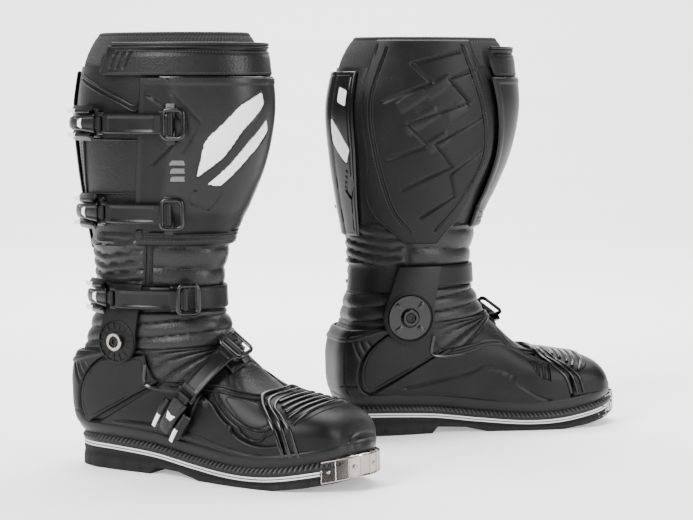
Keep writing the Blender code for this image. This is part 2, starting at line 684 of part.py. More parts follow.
def hinge_frame(at, axis, mirrored):
    """A frame on a hinge, whose Z is the hinge's axis. A mirrored hinge still opens the positive way."""
    if mirrored:
        at, axis = MIRROR @ at, -(MIRROR.to_3x3() @ axis)
    return Matrix.Translation(at) @ axis.to_track_quat("Z", "Y").to_matrix().to_4x4()


def place(side, boot, heel, turn, collection):
    """Hangs a boot's pieces on empties: one where the boot stands, and one on the axis of each hinge."""
    pieces, hinges = boot
    mirrored = side == "left"
    frames = {"foot": Matrix.Identity(4)}
    empties = {}

    def add_empty(name, parent, local):
        found = bpy.data.objects.new(f"{side}_{name}_axis", None)
        found.empty_display_size = 0.02
        found.parent = empties.get(parent)
        found.matrix_local = local
        collection.objects.link(found)
        empties[name] = found

    add_empty("foot", None, Matrix.Translation((*heel, 0)) @ Matrix.Rotation(turn, 4, "Z"))
    for name, parent, at, axis in hinges:
        frames[name] = hinge_frame(at, axis, mirrored)
        add_empty(name, parent, frames[parent].inverted() @ frames[name])
    for name, source in pieces.items():
        body = name if name in frames else "shaft" if name in SHAFT_PIECES else "foot"
        obj = bpy.data.objects.new(f"{side}_{name}", source.data.copy())
        if mirrored:
            obj.data.transform(MIRROR)
            obj.data.flip_normals()
        obj.data.transform(frames[body].inverted())
        obj.parent = empties[body]
        collection.objects.link(obj)


def build():
    clear_scene()
    collection = bpy.data.collections.new("riding_boots")
    bpy.context.scene.collection.children.link(collection)
    boot = make_boot()
    place("right", boot, RIGHT_HEEL, RIGHT_TURN, collection)
    place("left", boot, LEFT_HEEL, LEFT_TURN, collection)
    for source in boot[0].values():
        bpy.data.objects.remove(source)
    for obj in collection.objects:
        if obj.type == "MESH":
            obj.data.shade_smooth()
            obj.data.set_sharp_from_angle(angle=math.radians(35))


build()
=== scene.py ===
# %% [markdown]
# # A pair of tall off-road riding boots
#
# A boot like this is a leather tube and a leather foot with harder panels laid over them: a shin plate, a
# calf guard, a toe cap and a heel counter, joined by a hinged ankle and closed with four lever buckles.
#
# Both boots are the same design. So each piece is drawn once, as a right boot standing at the origin with
# its toe along +X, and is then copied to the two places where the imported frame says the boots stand. The
# left copy is mirrored. Drawing once halves the work, and the two boots can't drift apart.

# %% Load the frame
import json
import math

import bmesh
import bpy
import numpy as np
from mathutils import Matrix, Vector
from mathutils.bvhtree import BVHTree


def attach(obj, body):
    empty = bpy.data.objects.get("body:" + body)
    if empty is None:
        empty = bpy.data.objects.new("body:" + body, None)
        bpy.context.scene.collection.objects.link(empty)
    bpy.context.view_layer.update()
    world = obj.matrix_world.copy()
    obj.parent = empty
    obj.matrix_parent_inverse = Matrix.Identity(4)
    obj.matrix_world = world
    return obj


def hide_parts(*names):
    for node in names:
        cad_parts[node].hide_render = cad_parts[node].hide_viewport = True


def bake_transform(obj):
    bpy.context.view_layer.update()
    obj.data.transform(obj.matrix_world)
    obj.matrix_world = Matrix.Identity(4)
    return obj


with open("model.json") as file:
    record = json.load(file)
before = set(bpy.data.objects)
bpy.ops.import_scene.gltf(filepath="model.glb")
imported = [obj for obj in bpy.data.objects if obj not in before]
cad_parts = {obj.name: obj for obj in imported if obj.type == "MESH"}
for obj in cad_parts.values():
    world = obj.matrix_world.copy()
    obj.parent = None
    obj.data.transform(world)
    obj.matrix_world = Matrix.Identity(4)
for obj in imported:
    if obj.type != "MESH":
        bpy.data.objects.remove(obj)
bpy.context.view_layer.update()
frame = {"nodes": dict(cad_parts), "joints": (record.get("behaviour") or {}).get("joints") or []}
joints = {joint["name"]: joint for joint in frame["joints"]}

# %% [markdown]
# ## Where the boots stand
#
# The ankle hinge is the one line that both the foot and the shaft share, so it places a boot exactly: its
# axis is the boot's own sideways direction, and its point is the ankle pin. Going back from the pin by the
# pin's place in the boot gives the heel. The left boot adds a mirror, which turns every surface inside out,
# so its faces are flipped again when a mesh is copied there.

# %% Place the two boots
ANKLE_X, ANKLE_Z = 0.067, 0.128
MIRROR = Matrix.Diagonal((1, -1, 1, 1))


def boot_place(side):
    """The matrix that carries a right boot drawn at the origin to where that side's boot stands."""
    hinge = joints[f"{side}_ankle_flex"]
    turn = math.atan2(-hinge["axis"][0], hinge["axis"][1])
    stand = Matrix.Translation(hinge["pos_m"]) @ Matrix.Rotation(turn, 4, "Z")
    stand = stand @ Matrix.Translation((-ANKLE_X, 0, -ANKLE_Z))
    return stand @ MIRROR if side == "left" else stand


PLACES = {side: boot_place(side) for side in ("right", "left")}
for side, place in PLACES.items():
    print(side, "heel at", [round(value, 3) for value in place.translation])

# %% [markdown]
# ## The last: two smooth forms
#
# A shoemaker pulls leather over a wooden last. Here the last is a pair of formulas. One gives a point of
# the shaft from an angle, a height and a distance out of the leather; the other does the same for the foot,
# where rings numbered from the toe stand for the height. The rings are a short table, and `follow` runs a
# smooth curve through its rows. Working on whole arrays at once lets one call place ten thousand vertices.

# %% The shaft and the foot as smooth forms
# Height, front X, back X and half width of the shaft.
SHAFT_RINGS = (
    (0.130, 0.1500, 0.0130, 0.0440), (0.160, 0.1495, 0.0150, 0.0450), (0.185, 0.1485, 0.0165, 0.0460),
    (0.215, 0.1540, 0.0140, 0.0490), (0.250, 0.1680, 0.0075, 0.0550), (0.300, 0.1900, 0.0000, 0.0625),
    (0.350, 0.2000, -0.0035, 0.0665), (0.392, 0.1960, 0.0040, 0.0675), (0.430, 0.1900, 0.0130, 0.0660),
)
# Ring number, top X and Z, bottom X and Z, half width and sideways shift of the foot, from toe to cuff.
FOOT_RINGS = (
    (0, 0.3060, 0.0480, 0.3060, 0.0335, 0.0200, 0.005), (1, 0.3000, 0.0600, 0.3005, 0.0315, 0.0330, 0.004),
    (2, 0.2850, 0.0695, 0.2870, 0.0290, 0.0430, 0.003), (3, 0.2530, 0.0750, 0.2560, 0.0240, 0.0500, 0.000),
    (4, 0.2240, 0.0815, 0.2220, 0.0208, 0.0515, -0.001),
              (5, 0.2000, 0.0950, 0.1850, 0.0212, 0.0490, -0.002),
    (6, 0.1830, 0.1110, 0.1450, 0.0250, 0.0450, -0.002),
              (7, 0.1740, 0.1190, 0.1000, 0.0302, 0.0420, -0.001),
    (8, 0.1710, 0.1220, 0.0500, 0.0332, 0.0400, 0.0), (9, 0.1695, 0.1235, 0.0060, 0.0420, 0.0400, 0.0),
    (10, 0.1685, 0.1245, -0.0010, 0.0800, 0.0415, 0.0), (11, 0.1680, 0.1250, 0.0030, 0.1060, 0.0430, 0.0),
    (12, 0.1680, 0.1255, 0.0100, 0.1180, 0.0435, 0.0),
)
CUFF = 12


def follow(rows, at):
    """Smooth rows through a table at many places at once. A row's first number is its place."""
    rows = np.asarray(rows, float)
    keys = rows[:, 0]
    at = np.clip(np.asarray(at, float), keys[0], keys[-1])
    i = np.clip(np.searchsorted(keys, at, side="right") - 1, 0, len(keys) - 2)
    before, first, second, after = (rows[np.clip(i + k, 0, len(keys) - 1)] for k in (-1, 0, 1, 2))
    span = second[..., :1] - first[..., :1]
    t = (at[..., None] - first[..., :1]) / span
    start_slope = (second - before) / np.maximum(second[..., :1] - before[..., :1], 1e-9) * span
    end_slope = (after - first) / np.maximum(after[..., :1] - first[..., :1], 1e-9) * span
    return ((2 * t**3 - 3 * t**2 + 1) * first + (t**3 - 2 * t**2 + t) * start_slope
            + (-2 * t**3 + 3 * t**2) * second + (t**3 - t**2) * end_slope)


def on_shaft(angle, height, out=0.0):
    """Points on the shaft: angle 0 is the shin, 90 the outer side, 180 the calf and -90 the inner side."""
    angle, height, out = np.broadcast_arrays(np.asarray(angle, float), height, out)
    ring = follow(SHAFT_RINGS, height)
    turn = np.radians(angle)
    centre, reach = (ring[..., 1] + ring[..., 2]) / 2, (ring[..., 1] - ring[..., 2]) / 2
    return np.stack([centre + (reach + out) * np.cos(turn), -(ring[..., 3] + out) * np.sin(turn), height],
                    -1)


def on_foot(angle, ring, out=0.0):
    """Points on the foot: angle 0 is the instep and 90 the outer side; rings run from toe 0 to cuff 12."""
    angle, ring, out = np.broadcast_arrays(np.asarray(angle, float), ring, out)
    row = follow(FOOT_RINGS, ring)
    turn = np.radians(angle)
    top, low = row[..., [1, 2]], row[..., [3, 4]]
    up = (top - low) / 2
    length = np.linalg.norm(up, axis=-1)
    power = 2 / np.where(np.cos(turn) > 0, 2.3, 4.4)
    rise = np.sign(np.cos(turn)) * np.abs(np.cos(turn)) ** power
    side = np.sign(np.sin(turn)) * np.abs(np.sin(turn)) ** power
    core = (top + low) / 2 + up / length[..., None] * ((length + out) * rise)[..., None]
    return np.stack([core[..., 0], row[..., 6] - (row[..., 5] + out) * side, core[..., 1]], -1)


print("shin at half height", np.round(on_shaft(0, 0.25), 3), "toe", np.round(on_foot(0, 0), 3))

# %% [markdown]
# ## The sole's outline
#
# Every layer of the sole follows one outline, so a third form goes round it: `on_sole` takes a share of the
# way round, from the heel along the outer side to the toe and back along the inner side, and a height above
# the midsole band. The band rises at the heel and at the toe, which gives the boot its toe spring.

# %% The sole as a form
SOLE_LENGTH = 0.3175
# X, reach to the outer side and reach to the inner side.
SOLE_OUTLINE = (
    (0.0, 0.0, 0.0), (0.004, 0.017, 0.017), (0.012, 0.027, 0.027), (0.030, 0.036, 0.036),
                (0.060, 0.040, 0.039),
    (0.110, 0.042, 0.037), (0.150, 0.048, 0.041), (0.190, 0.055, 0.048), (0.225, 0.058, 0.053),
    (0.255, 0.0555, 0.0525), (0.280, 0.047, 0.048), (0.300, 0.034, 0.037), (0.312, 0.018, 0.021),
    (SOLE_LENGTH, 0.0, 0.0),
)
BAND_LINE = ((0.0, 0.0225), (0.05, 0.0225), (0.10, 0.0195), (0.15, 0.0135), (0.20, 0.0095), (0.24, 0.0105),
             (0.28, 0.0165), (SOLE_LENGTH, 0.0240))
TREAD_LINE = ((0.0, 0.0), (0.098, 0.0), (0.104, 0.007), (0.135, 0.0055), (0.160, 0.0), (0.245, 0.0),
              (0.275, 0.004), (0.300, 0.009), (SOLE_LENGTH, 0.014))
SOLE_LOOP = [*((x, -outer) for x, outer, _ in SOLE_OUTLINE),
             *((x, inner) for x, _, inner in SOLE_OUTLINE[-2::-1])]


def loop_table(points):
    """A closed outline as rows of share and place, with the share even along its length."""
    points = np.array(points, float)
    way = np.concatenate([[0], np.cumsum(np.linalg.norm(np.diff(points, axis=0), axis=1))])
    return np.column_stack([way / way[-1], points])


SOLE_ROWS = loop_table(SOLE_LOOP)


def band_height(x):
    return follow(BAND_LINE, x)[..., 1]


def tread_height(x):
    places, heights = zip(*TREAD_LINE)
    return np.interp(x, places, heights)


def on_sole(share, above, out=0.0):
    """Points round the sole's edge, above the band's own height, and moved out sideways."""
    share, above, out = np.broadcast_arrays(np.asarray(share, float), above, out)
    share = share % 1.0
    tiny = 0.001
    here = follow(SOLE_ROWS, share)[..., 1:]
    ahead = follow(SOLE_ROWS, (share + tiny) % 1.0)[..., 1:]
    behind = follow(SOLE_ROWS, (share - tiny) % 1.0)[..., 1:]
    along = ahead - behind
    along = along / np.linalg.norm(along, axis=-1, keepdims=True)
    away = np.stack([along[..., 1], -along[..., 0]], -1)
    flat = here + away * out[..., None]
    return np.concatenate([flat, (band_height(here[..., 0]) + above)[..., None]], -1)


print("outer ball of the foot", np.round(on_sole(0.35, 0), 3))

# %% [markdown]
# ## Panels: a grid pulled onto the last
#
# Nearly every part of the boot is a sheet: leather, rubber or moulded plastic, two to four millimetres
# thick. A sheet starts as a flat grid. Each vertex is moved onto the last, pushed out by a relief in
# metres, and the grid is then thickened inwards, so the outer face stays where it was drawn. The relief
# works with true distances: how far a vertex is from a line, or how deep inside an outline. That makes a
# groove or a bead the same width everywhere.
#
# `Spots` holds the places of a panel's vertices and answers those distance questions.

# %% Distances and profiles for reliefs
def soft(value):
    """0 below 0, 1 above 1, and a smooth step between them."""
    value = np.clip(value, 0, 1)
    return value * value * (3 - 2 * value)


def groove(distance, width, depth):
    return -depth * (1 - soft(distance / (width / 2)))


def bead(distance, width, height):
    return height * np.sqrt(np.clip(1 - (distance / (width / 2)) ** 2, 0, 1))


def raised(inside, width, height):
    """A field that stands up where the signed distance inside is positive, with a sloping wall."""
    return height * soft(inside / width + 0.5)


def pillow(phase, fullness=0.6):
    """Bolsters between seams: 0 at whole numbers, 1 half way."""
    return np.abs(np.sin(np.pi * phase)) ** fullness


def curve_through(corners, count):
    """A smooth run of count points through given corners."""
    rows = np.column_stack([np.linspace(0, 1, len(corners)), np.array(corners, float)])
    return follow(rows, np.linspace(0, 1, count))[:, 1:]


def straight_through(corners, count=8):
    """Straight runs through corners, cut finely enough to bend with the surface."""
    corners = np.array(corners, float)
    parts = [a + (b - a) * np.linspace(0, 1, count, endpoint=False)[:, None]
             for a, b in zip(corners, corners[1:])]
    return np.concatenate([*parts, corners[-1:]])


def distance_to(points, path):
    """How far each point is from a run of straight pieces."""
    nearest = np.full(len(points), np.inf)
    for a, b in zip(path, path[1:]):
        run = b - a
        share = np.clip((points - a) @ run / max(run @ run, 1e-12), 0, 1)
        nearest = np.minimum(nearest, np.linalg.norm(points - a - share[:, None] * run, axis=1))
    return nearest


class Spots:
    """The places of a panel's vertices: angle, level, point, and distance to the panel's own border."""

    def __init__(self, surface, out, angle, level, point, border):
        self.surface, self.out = surface, out
        self.angle, self.level, self.point, self.border = angle, level, point, border

    def near(self, *paths):
        """Distance to the nearest of some (angle, level) paths."""
        lines = [self.surface(path[:, 0], path[:, 1], self.out) for path in paths]
        return np.min([distance_to(self.point, line) for line in lines], axis=0)

    def inside(self, outline):
        """Signed distance to a closed (angle, level) outline, positive inside it."""
        closed = np.vstack([outline, outline[:1]])
        crossings = np.zeros(len(self.point), int)
        for (a0, l0), (a1, l1) in zip(closed, closed[1:]):
            if l0 != l1:
                between = (self.level >= min(l0, l1)) & (self.level < max(l0, l1))
                at = a0 + (self.level - l0) / (l1 - l0) * (a1 - a0)
                crossings += between & (self.angle < at)
        return np.where(crossings % 2 == 1, 1, -1) * self.near(closed)


# %% [markdown]
# ## Making the sheet, the cord and the slab
#
# Three makers cover almost all of the pieces. `sheet` lays a grid on a form and gives it thickness. `roll`
# curls a grid round a line for piping, wire and ribs, with its ends drawn to a point and merged. `slab`
# raises a flat outline and bevels its edges, for levers, plates and bolts. Each adds to a bmesh, so that
# one piece can be made of several.
#
# A grid knows nothing of inside and outside, so `sheet` compares one face's normal with the form's own
# outward direction and reverses all of them where they disagree. That has to come before the wall gets its
# thickness.

# %% The sheet maker
def lay_grid(body, surface, rows, columns, steps, out, relief, closed=False):
    """A grid laid on a form between the rows (level, first angle, last angle), with its relief pushed out."""
    lift = body.verts.layers.float.get("lift") or body.verts.layers.float.new("lift")
    verts = bmesh.ops.create_grid(body, x_segments=columns, y_segments=steps, size=0.5)["verts"]
    flat = np.array([vertex.co[:2] for vertex in verts]) + 0.5
    table = np.column_stack([np.linspace(0, 1, len(rows)), np.array(rows, float)])
    row = follow(table, flat[:, 1])
    level, angle = row[:, 1], row[:, 2] + (row[:, 3] - row[:, 2]) * flat[:, 0]
    point = surface(angle, level, out)
    column_of = np.rint(flat[:, 0] * columns).astype(int)
    step_of = np.rint(flat[:, 1] * steps).astype(int)
    net = np.zeros((steps + 1, columns + 1, 3))
    net[step_of, column_of] = point
    across = np.cumsum(np.pad(np.linalg.norm(np.diff(net, axis=1), axis=2), ((0, 0), (1, 0))), axis=1)
    along = np.cumsum(np.pad(np.linalg.norm(np.diff(net, axis=0), axis=2), ((1, 0), (0, 0))), axis=0)
    ends = np.minimum(along, along[-1:] - along)
    border = ends if closed else np.minimum(ends, np.minimum(across, across[:, -1:] - across))
    spots = Spots(surface, out, angle, level, point, border[step_of, column_of])
    height = relief(spots) if relief else np.zeros(len(point))
    place = surface(angle, level, out + height)
    for vertex, co in zip(verts, place):
        vertex.co = co
    middle = len(verts) // 2
    inner, outer = (surface(angle[middle], level[middle], out + step) for step in (0.0, 0.001))
    faces = list({face for vertex in verts for face in vertex.link_faces})
    bmesh.ops.recalc_face_normals(body, faces=faces)
    probe = verts[middle].link_faces[0]
    probe.normal_update()
    if probe.normal.dot(Vector(outer - inner)) < 0:
        bmesh.ops.reverse_faces(body, faces=faces)
    for vertex, value in zip(verts, height):
        vertex[lift] = value * 1000
    if closed:
        bmesh.ops.remove_doubles(body, verts=verts, dist=1e-5)
    return spots


def to_mesh(body, name):
    mesh = bpy.data.meshes.new(name)
    body.to_mesh(mesh)
    body.free()
    return mesh


def thicken(mesh, thickness):
    """Gives an open mesh a wall inwards, and returns the mesh that results."""
    holder = bpy.data.objects.new(mesh.name, mesh)
    bpy.context.scene.collection.objects.link(holder)
    solid = holder.modifiers.new("wall", "SOLIDIFY")
    solid.thickness = thickness
    solid.offset = -1
    bpy.context.view_layer.update()
    walled = bpy.data.meshes.new_from_object(holder.evaluated_get(bpy.context.evaluated_depsgraph_get()))
    bpy.data.objects.remove(holder)
    return walled


def sheet(name, surface, rows, columns, steps, out=0.0, relief=None, thickness=0.003, closed=False):
    body = bmesh.new()
    lay_grid(body, surface, rows, columns, steps, out, relief, closed)
    return thicken(to_mesh(body, name), thickness)


def rolled_edge(spots, reach=0.0016, drop=0.0012):
    """The rounding of a panel's border."""
    short = 1 - np.clip(spots.border / reach, 0, 1)
    return -drop * (1 - np.sqrt(np.clip(1 - short**2, 0, 1)))


def plain_edge(reach, drop):
    """A relief that only rounds the panel's border."""
    return lambda spots: rolled_edge(spots, reach, drop)


# %% The cord and slab makers
def roll(body, points, radius, sides=8, flat=1.0, closed=False):
    """A cord round a run of points. Flat under 1 presses it against the surface that it lies on."""
    points = np.asarray(points, float)
    ahead, behind = np.roll(points, -1, 0), np.roll(points, 1, 0)
    if not closed:
        ahead[-1], behind[0] = points[-1], points[0]
    along = ahead - behind
    along /= np.maximum(np.linalg.norm(along, axis=1, keepdims=True), 1e-9)
    inward = np.array([0.09, 0, 0.06]) - points
    inward[:, 2] *= points[:, 2] < 0.12
    side = np.cross(along, inward)
    side /= np.maximum(np.linalg.norm(side, axis=1, keepdims=True), 1e-9)
    up = np.cross(side, along)
    width = np.broadcast_to(radius, len(points)).astype(float)
    if closed:
        points, side, up = (np.vstack([a, a[:1]]) for a in (points, side, up))
        width = np.append(width, width[0])
    else:
        points, side, up = (np.vstack([a[:1], a, a[-1:]]) for a in (points, side, up))
        width = np.concatenate([[1e-6], width, [1e-6]])
    stations = len(points) - 1
    verts = bmesh.ops.create_grid(body, x_segments=sides, y_segments=stations, size=0.5)["verts"]
    flat_co = np.array([vertex.co[:2] for vertex in verts]) + 0.5
    station = np.rint(flat_co[:, 1] * stations).astype(int)
    turn = 2 * np.pi * flat_co[:, 0]
    ring = side[station] * np.cos(turn)[:, None] + up[station] * (flat * np.sin(turn))[:, None]
    for vertex, co in zip(verts, points[station] + ring * width[station][:, None]):
        vertex.co = co
    faces = list({face for vertex in verts for face in vertex.link_faces})
    bmesh.ops.remove_doubles(body, verts=verts, dist=5e-6)
    faces = [face for face in faces if face.is_valid]
    bmesh.ops.recalc_face_normals(body, faces=faces)
    return faces


def add_part(body, part, place=None):
    """Adds a finished bmesh to another, moved to its place."""
    if place is not None:
        bmesh.ops.transform(part, matrix=place, verts=part.verts)
    mesh = to_mesh(part, "part")
    body.from_mesh(mesh)
    bpy.data.meshes.remove(mesh)


def add_sheet(body, surface, rows, columns, steps, out, relief, thickness):
    """Adds a sheet to a bmesh that holds other parts too."""
    mesh = sheet("part", surface, rows, columns, steps, out, relief, thickness)
    body.from_mesh(mesh)
    bpy.data.meshes.remove(mesh)


def slab(body, outline, low, high, place=None, edge=0.0004):
    """A flat outline raised from low to high, with bevelled edges."""
    part = bmesh.new()
    face = part.faces.new([part.verts.new((x, y, low)) for x, y in outline])
    raised_part = bmesh.ops.extrude_face_region(part, geom=[face])
    moved = [item for item in raised_part["geom"] if isinstance(item, bmesh.types.BMVert)]
    bmesh.ops.translate(part, verts=moved, vec=(0, 0, high - low))
    bmesh.ops.recalc_face_normals(part, faces=part.faces)
    rims = [e for e in part.edges if abs(e.verts[0].co.z - e.verts[1].co.z) < 1e-6]
    bmesh.ops.bevel(part, geom=rims, offset=edge, segments=2, profile=0.5, affect="EDGES", material=-1)
    add_part(body, part, place)


def turned(body, profile, place=None, steps=32):
    """A profile of (radius, height) points, spun once round Z."""
    part = bmesh.new()
    verts = [part.verts.new((radius, 0, height)) for radius, height in profile]
    edges = [part.edges.new(pair) for pair in zip(verts, verts[1:])]
    bmesh.ops.spin(part, geom=verts + edges, cent=(0, 0, 0), axis=(0, 0, 1), angle=math.tau, steps=steps,
                   use_merge=True)
    bmesh.ops.remove_doubles(part, verts=part.verts, dist=1e-6)
    bmesh.ops.recalc_face_normals(part, faces=part.faces)
    add_part(body, part, place)


def circle(radius, count, centre=(0, 0), start=0.0):
    turns = [start + math.tau * i / count for i in range(count)]
    return [(centre[0] + radius * math.cos(t), centre[1] + radius * math.sin(t)) for t in turns]


# %% [markdown]
# ## Stitches
#
# A lockstitch shows as a row of short, plump threads with a gap between them, each sunk a little at its
# ends. Here a stitch is a small squashed ball of about forty faces, turned along its seam. They are laid in
# a row at an even pitch, and all of a panel's stitches make one piece.

# %% The stitch maker
STITCH_PITCH, STITCH_LENGTH, STITCH_WIDTH = 0.0031, 0.0024, 0.0008


def even_steps(points, pitch):
    """Points at an even pitch along a run."""
    way = np.concatenate([[0], np.cumsum(np.linalg.norm(np.diff(points, axis=0), axis=1))])
    count = max(int(way[-1] / pitch), 2)
    return np.column_stack([np.interp(np.linspace(0, way[-1], count + 1), way, points[:, k])
                            for k in range(3)])


def sew(body, surface, path, out, pitch=STITCH_PITCH, length=STITCH_LENGTH, width=STITCH_WIDTH):
    """A row of stitches along an (angle, level) path."""
    knots = even_steps(surface(path[:, 0], path[:, 1], out), pitch)
    size = Matrix.Diagonal((width / 2, width / 2, length / 2, 1))
    for a, b in zip(knots, knots[1:]):
        along = Vector(b - a)
        place = Matrix.Translation((a + b) / 2) @ along.to_track_quat("Z", "Y").to_matrix().to_4x4() @ size
        bmesh.ops.create_uvsphere(body, u_segments=6, v_segments=4, radius=1, matrix=place)


SHAFT_SCALE, FOOT_SCALE = (0.0014, 1.0), (0.0009, 0.026)


def double_row(path, gap, scale=SHAFT_SCALE):
    """The same path moved aside by half a gap either way. Scale is the metres in a degree and in a level."""
    run = np.gradient(path, axis=0)
    scale = np.array(scale)
    true_run = run * scale
    aside = np.stack([-true_run[:, 1], true_run[:, 0]], 1)
    aside /= np.maximum(np.linalg.norm(aside, axis=1, keepdims=True), 1e-9)
    return path + aside * gap / 2 / scale, path - aside * gap / 2 / scale

# %% [markdown]
# ## Finishes
#
# All of the boot is black, so the finishes have to be told apart by how they scatter light. Full-grain
# leather has fine cells and a soft sheen. Moulded plastic is smoother, with a faint texture from the mould.
# Rubber is dull, the knit is hairy, and the steel toe guard is brushed. Handling leaves its traces too:
# raised places are rubbed a little lighter and smoother, and dust lies in specks within cloudy patches.
#
# Three node groups hold what the finishes share. `tone` gives colour and roughness: it mixes two tones by a
# cloudy noise, lightens what is raised, and adds specks of dust. `grain` gives the height of leather cells
# or of mould texture. `brushing` gives the fine scratches of steel. They give out only values that change
# over the surface; each material keeps its own Principled shader.

# %% Node group helpers
def new_group(name, inputs, outputs):
    """A shader node group with named sockets: (name, type, default)."""
    group = bpy.data.node_groups.new(name, "ShaderNodeTree")
    for socket_name, kind, default in inputs:
        socket = group.interface.new_socket(socket_name, in_out="INPUT", socket_type=f"NodeSocket{kind}")
        socket.default_value = default
    for socket_name, kind in outputs:
        group.interface.new_socket(socket_name, in_out="OUTPUT", socket_type=f"NodeSocket{kind}")
    return group, group.nodes.new("NodeGroupInput"), group.nodes.new("NodeGroupOutput")


def add_node(tree, kind, links=None, **settings):
    """A node with its settings; links go from its input names to values or to other nodes' sockets."""
    node = tree.nodes.new(f"ShaderNode{kind}")
    for key, value in settings.items():
        setattr(node, key, value)
    for key, value in (links or {}).items():
        if isinstance(value, bpy.types.NodeSocket):
            tree.links.new(value, node.inputs[key])
        else:
            node.inputs[key].default_value = value
    return node


def maths(tree, operation, a, b=0.0, clamp=False):
    node = tree.nodes.new("ShaderNodeMath")
    node.operation = operation
    node.use_clamp = clamp
    for socket, value in zip(node.inputs, (a, b)):
        if isinstance(value, bpy.types.NodeSocket):
            tree.links.new(value, socket)
        else:
            socket.default_value = value
    return node.outputs[0]


def mixed(tree, share, a, b):
    node = tree.nodes.new("ShaderNodeMix")
    node.data_type = "RGBA"
    for name, value in (("Factor", share), ("A", a), ("B", b)):
        socket = next(s for s in node.inputs if s.name == name and (s.type == "RGBA" or name == "Factor"))
        if isinstance(value, bpy.types.NodeSocket):
            tree.links.new(value, socket)
        else:
            socket.default_value = value
    return next(s for s in node.outputs if s.type == "RGBA")


# %% The shared node groups
def make_tone():
    tree, given, result = new_group("tone", (
        ("Dark", "Color", (0.01, 0.01, 0.01, 1)), ("Light", "Color", (0.03, 0.03, 0.03, 1)),
        ("Smooth", "Float", 0.35), ("Rough", "Float", 0.55), ("Scale", "Float", 30.0),
        ("Rubbing", "Float", 0.3), ("Dust", "Float", 0.2),
    ), (("Color", "Color"), ("Roughness", "Float")))
    place = add_node(tree, "TexCoord").outputs["Object"]
    cloud = add_node(tree, "TexNoise", {"Vector": place, "Scale": given.outputs["Scale"], "Detail": 4.0})
    fine = add_node(tree, "TexNoise", {"Vector": place, "Scale": 900.0, "Detail": 2.0})
    lift = add_node(tree, "Attribute", attribute_name="lift").outputs["Fac"]
    rubbed = maths(tree, "MULTIPLY", maths(tree, "MULTIPLY", lift, 0.5, True), given.outputs["Rubbing"])
    speck = maths(tree, "MULTIPLY", maths(tree, "SUBTRACT", fine.outputs["Fac"], 0.56), 4.0, True)
    patch = maths(tree, "MULTIPLY", maths(tree, "SUBTRACT", cloud.outputs["Fac"], 0.45), 3.0, True)
    dust = maths(tree, "MULTIPLY", maths(tree, "MULTIPLY", speck, patch), given.outputs["Dust"])
    base = mixed(tree, cloud.outputs["Fac"], given.outputs["Dark"], given.outputs["Light"])
    worn = mixed(tree, rubbed, base, (0.035, 0.035, 0.037, 1))
    tree.links.new(mixed(tree, dust, worn, (0.20, 0.19, 0.18, 1)), result.inputs["Color"])
    spread = maths(tree, "SUBTRACT", given.outputs["Rough"], given.outputs["Smooth"])
    uneven = maths(tree, "ADD", given.outputs["Smooth"],
                   maths(tree, "MULTIPLY", cloud.outputs["Fac"], spread))
    polished = maths(tree, "SUBTRACT", uneven, maths(tree, "MULTIPLY", rubbed, 0.25))
    tree.links.new(maths(tree, "ADD", polished, maths(tree, "MULTIPLY", dust, 0.3), True),
                   result.inputs["Roughness"])
    return tree


def make_grain():
    tree, given, result = new_group("grain", (
        ("Cells", "Float", 700.0), ("Cell depth", "Float", 1.0), ("Creases", "Float", 0.3),
    ), (("Height", "Float"),))
    place = add_node(tree, "TexCoord").outputs["Object"]
    cells = add_node(tree, "TexVoronoi", {"Vector": place, "Scale": given.outputs["Cells"]},
                     feature="SMOOTH_F1")
    folds = add_node(tree, "TexNoise", {"Vector": place, "Scale": 160.0, "Detail": 3.0, "Distortion": 0.6})
    pores = maths(tree, "MULTIPLY", cells.outputs["Distance"], given.outputs["Cell depth"])
    creases = maths(tree, "MULTIPLY", folds.outputs["Fac"], given.outputs["Creases"])
    tree.links.new(maths(tree, "ADD", maths(tree, "MULTIPLY", pores, -1.0), creases),
                   result.inputs["Height"])
    return tree


def make_brushing():
    tree, given, result = new_group("brushing", (("Fineness", "Float", 1500.0),), (("Height", "Float"),))
    place = add_node(tree, "TexCoord").outputs["Object"]
    stretched = add_node(tree, "Mapping", {"Vector": place, "Scale": (1.0, 1.0, 0.04)})
    lines = add_node(tree, "TexNoise", {"Vector": stretched.outputs["Vector"],
                                        "Scale": given.outputs["Fineness"], "Detail": 2.0})
    tree.links.new(lines.outputs["Fac"], result.inputs["Height"])
    return tree


GROUPS = {"tone": make_tone(), "grain": make_grain(), "brushing": make_brushing()}
print("node groups:", ", ".join(GROUPS))


# %% The materials
def grey(value, warm=0.0):
    return (value * (1 + warm), value, value * (1 - warm), 1)


def group_node(tree, name, **values):
    node = tree.nodes.new("ShaderNodeGroup")
    node.node_tree = GROUPS[name]
    for key, value in values.items():
        node.inputs[key.replace("_", " ").capitalize()].default_value = value
    return node


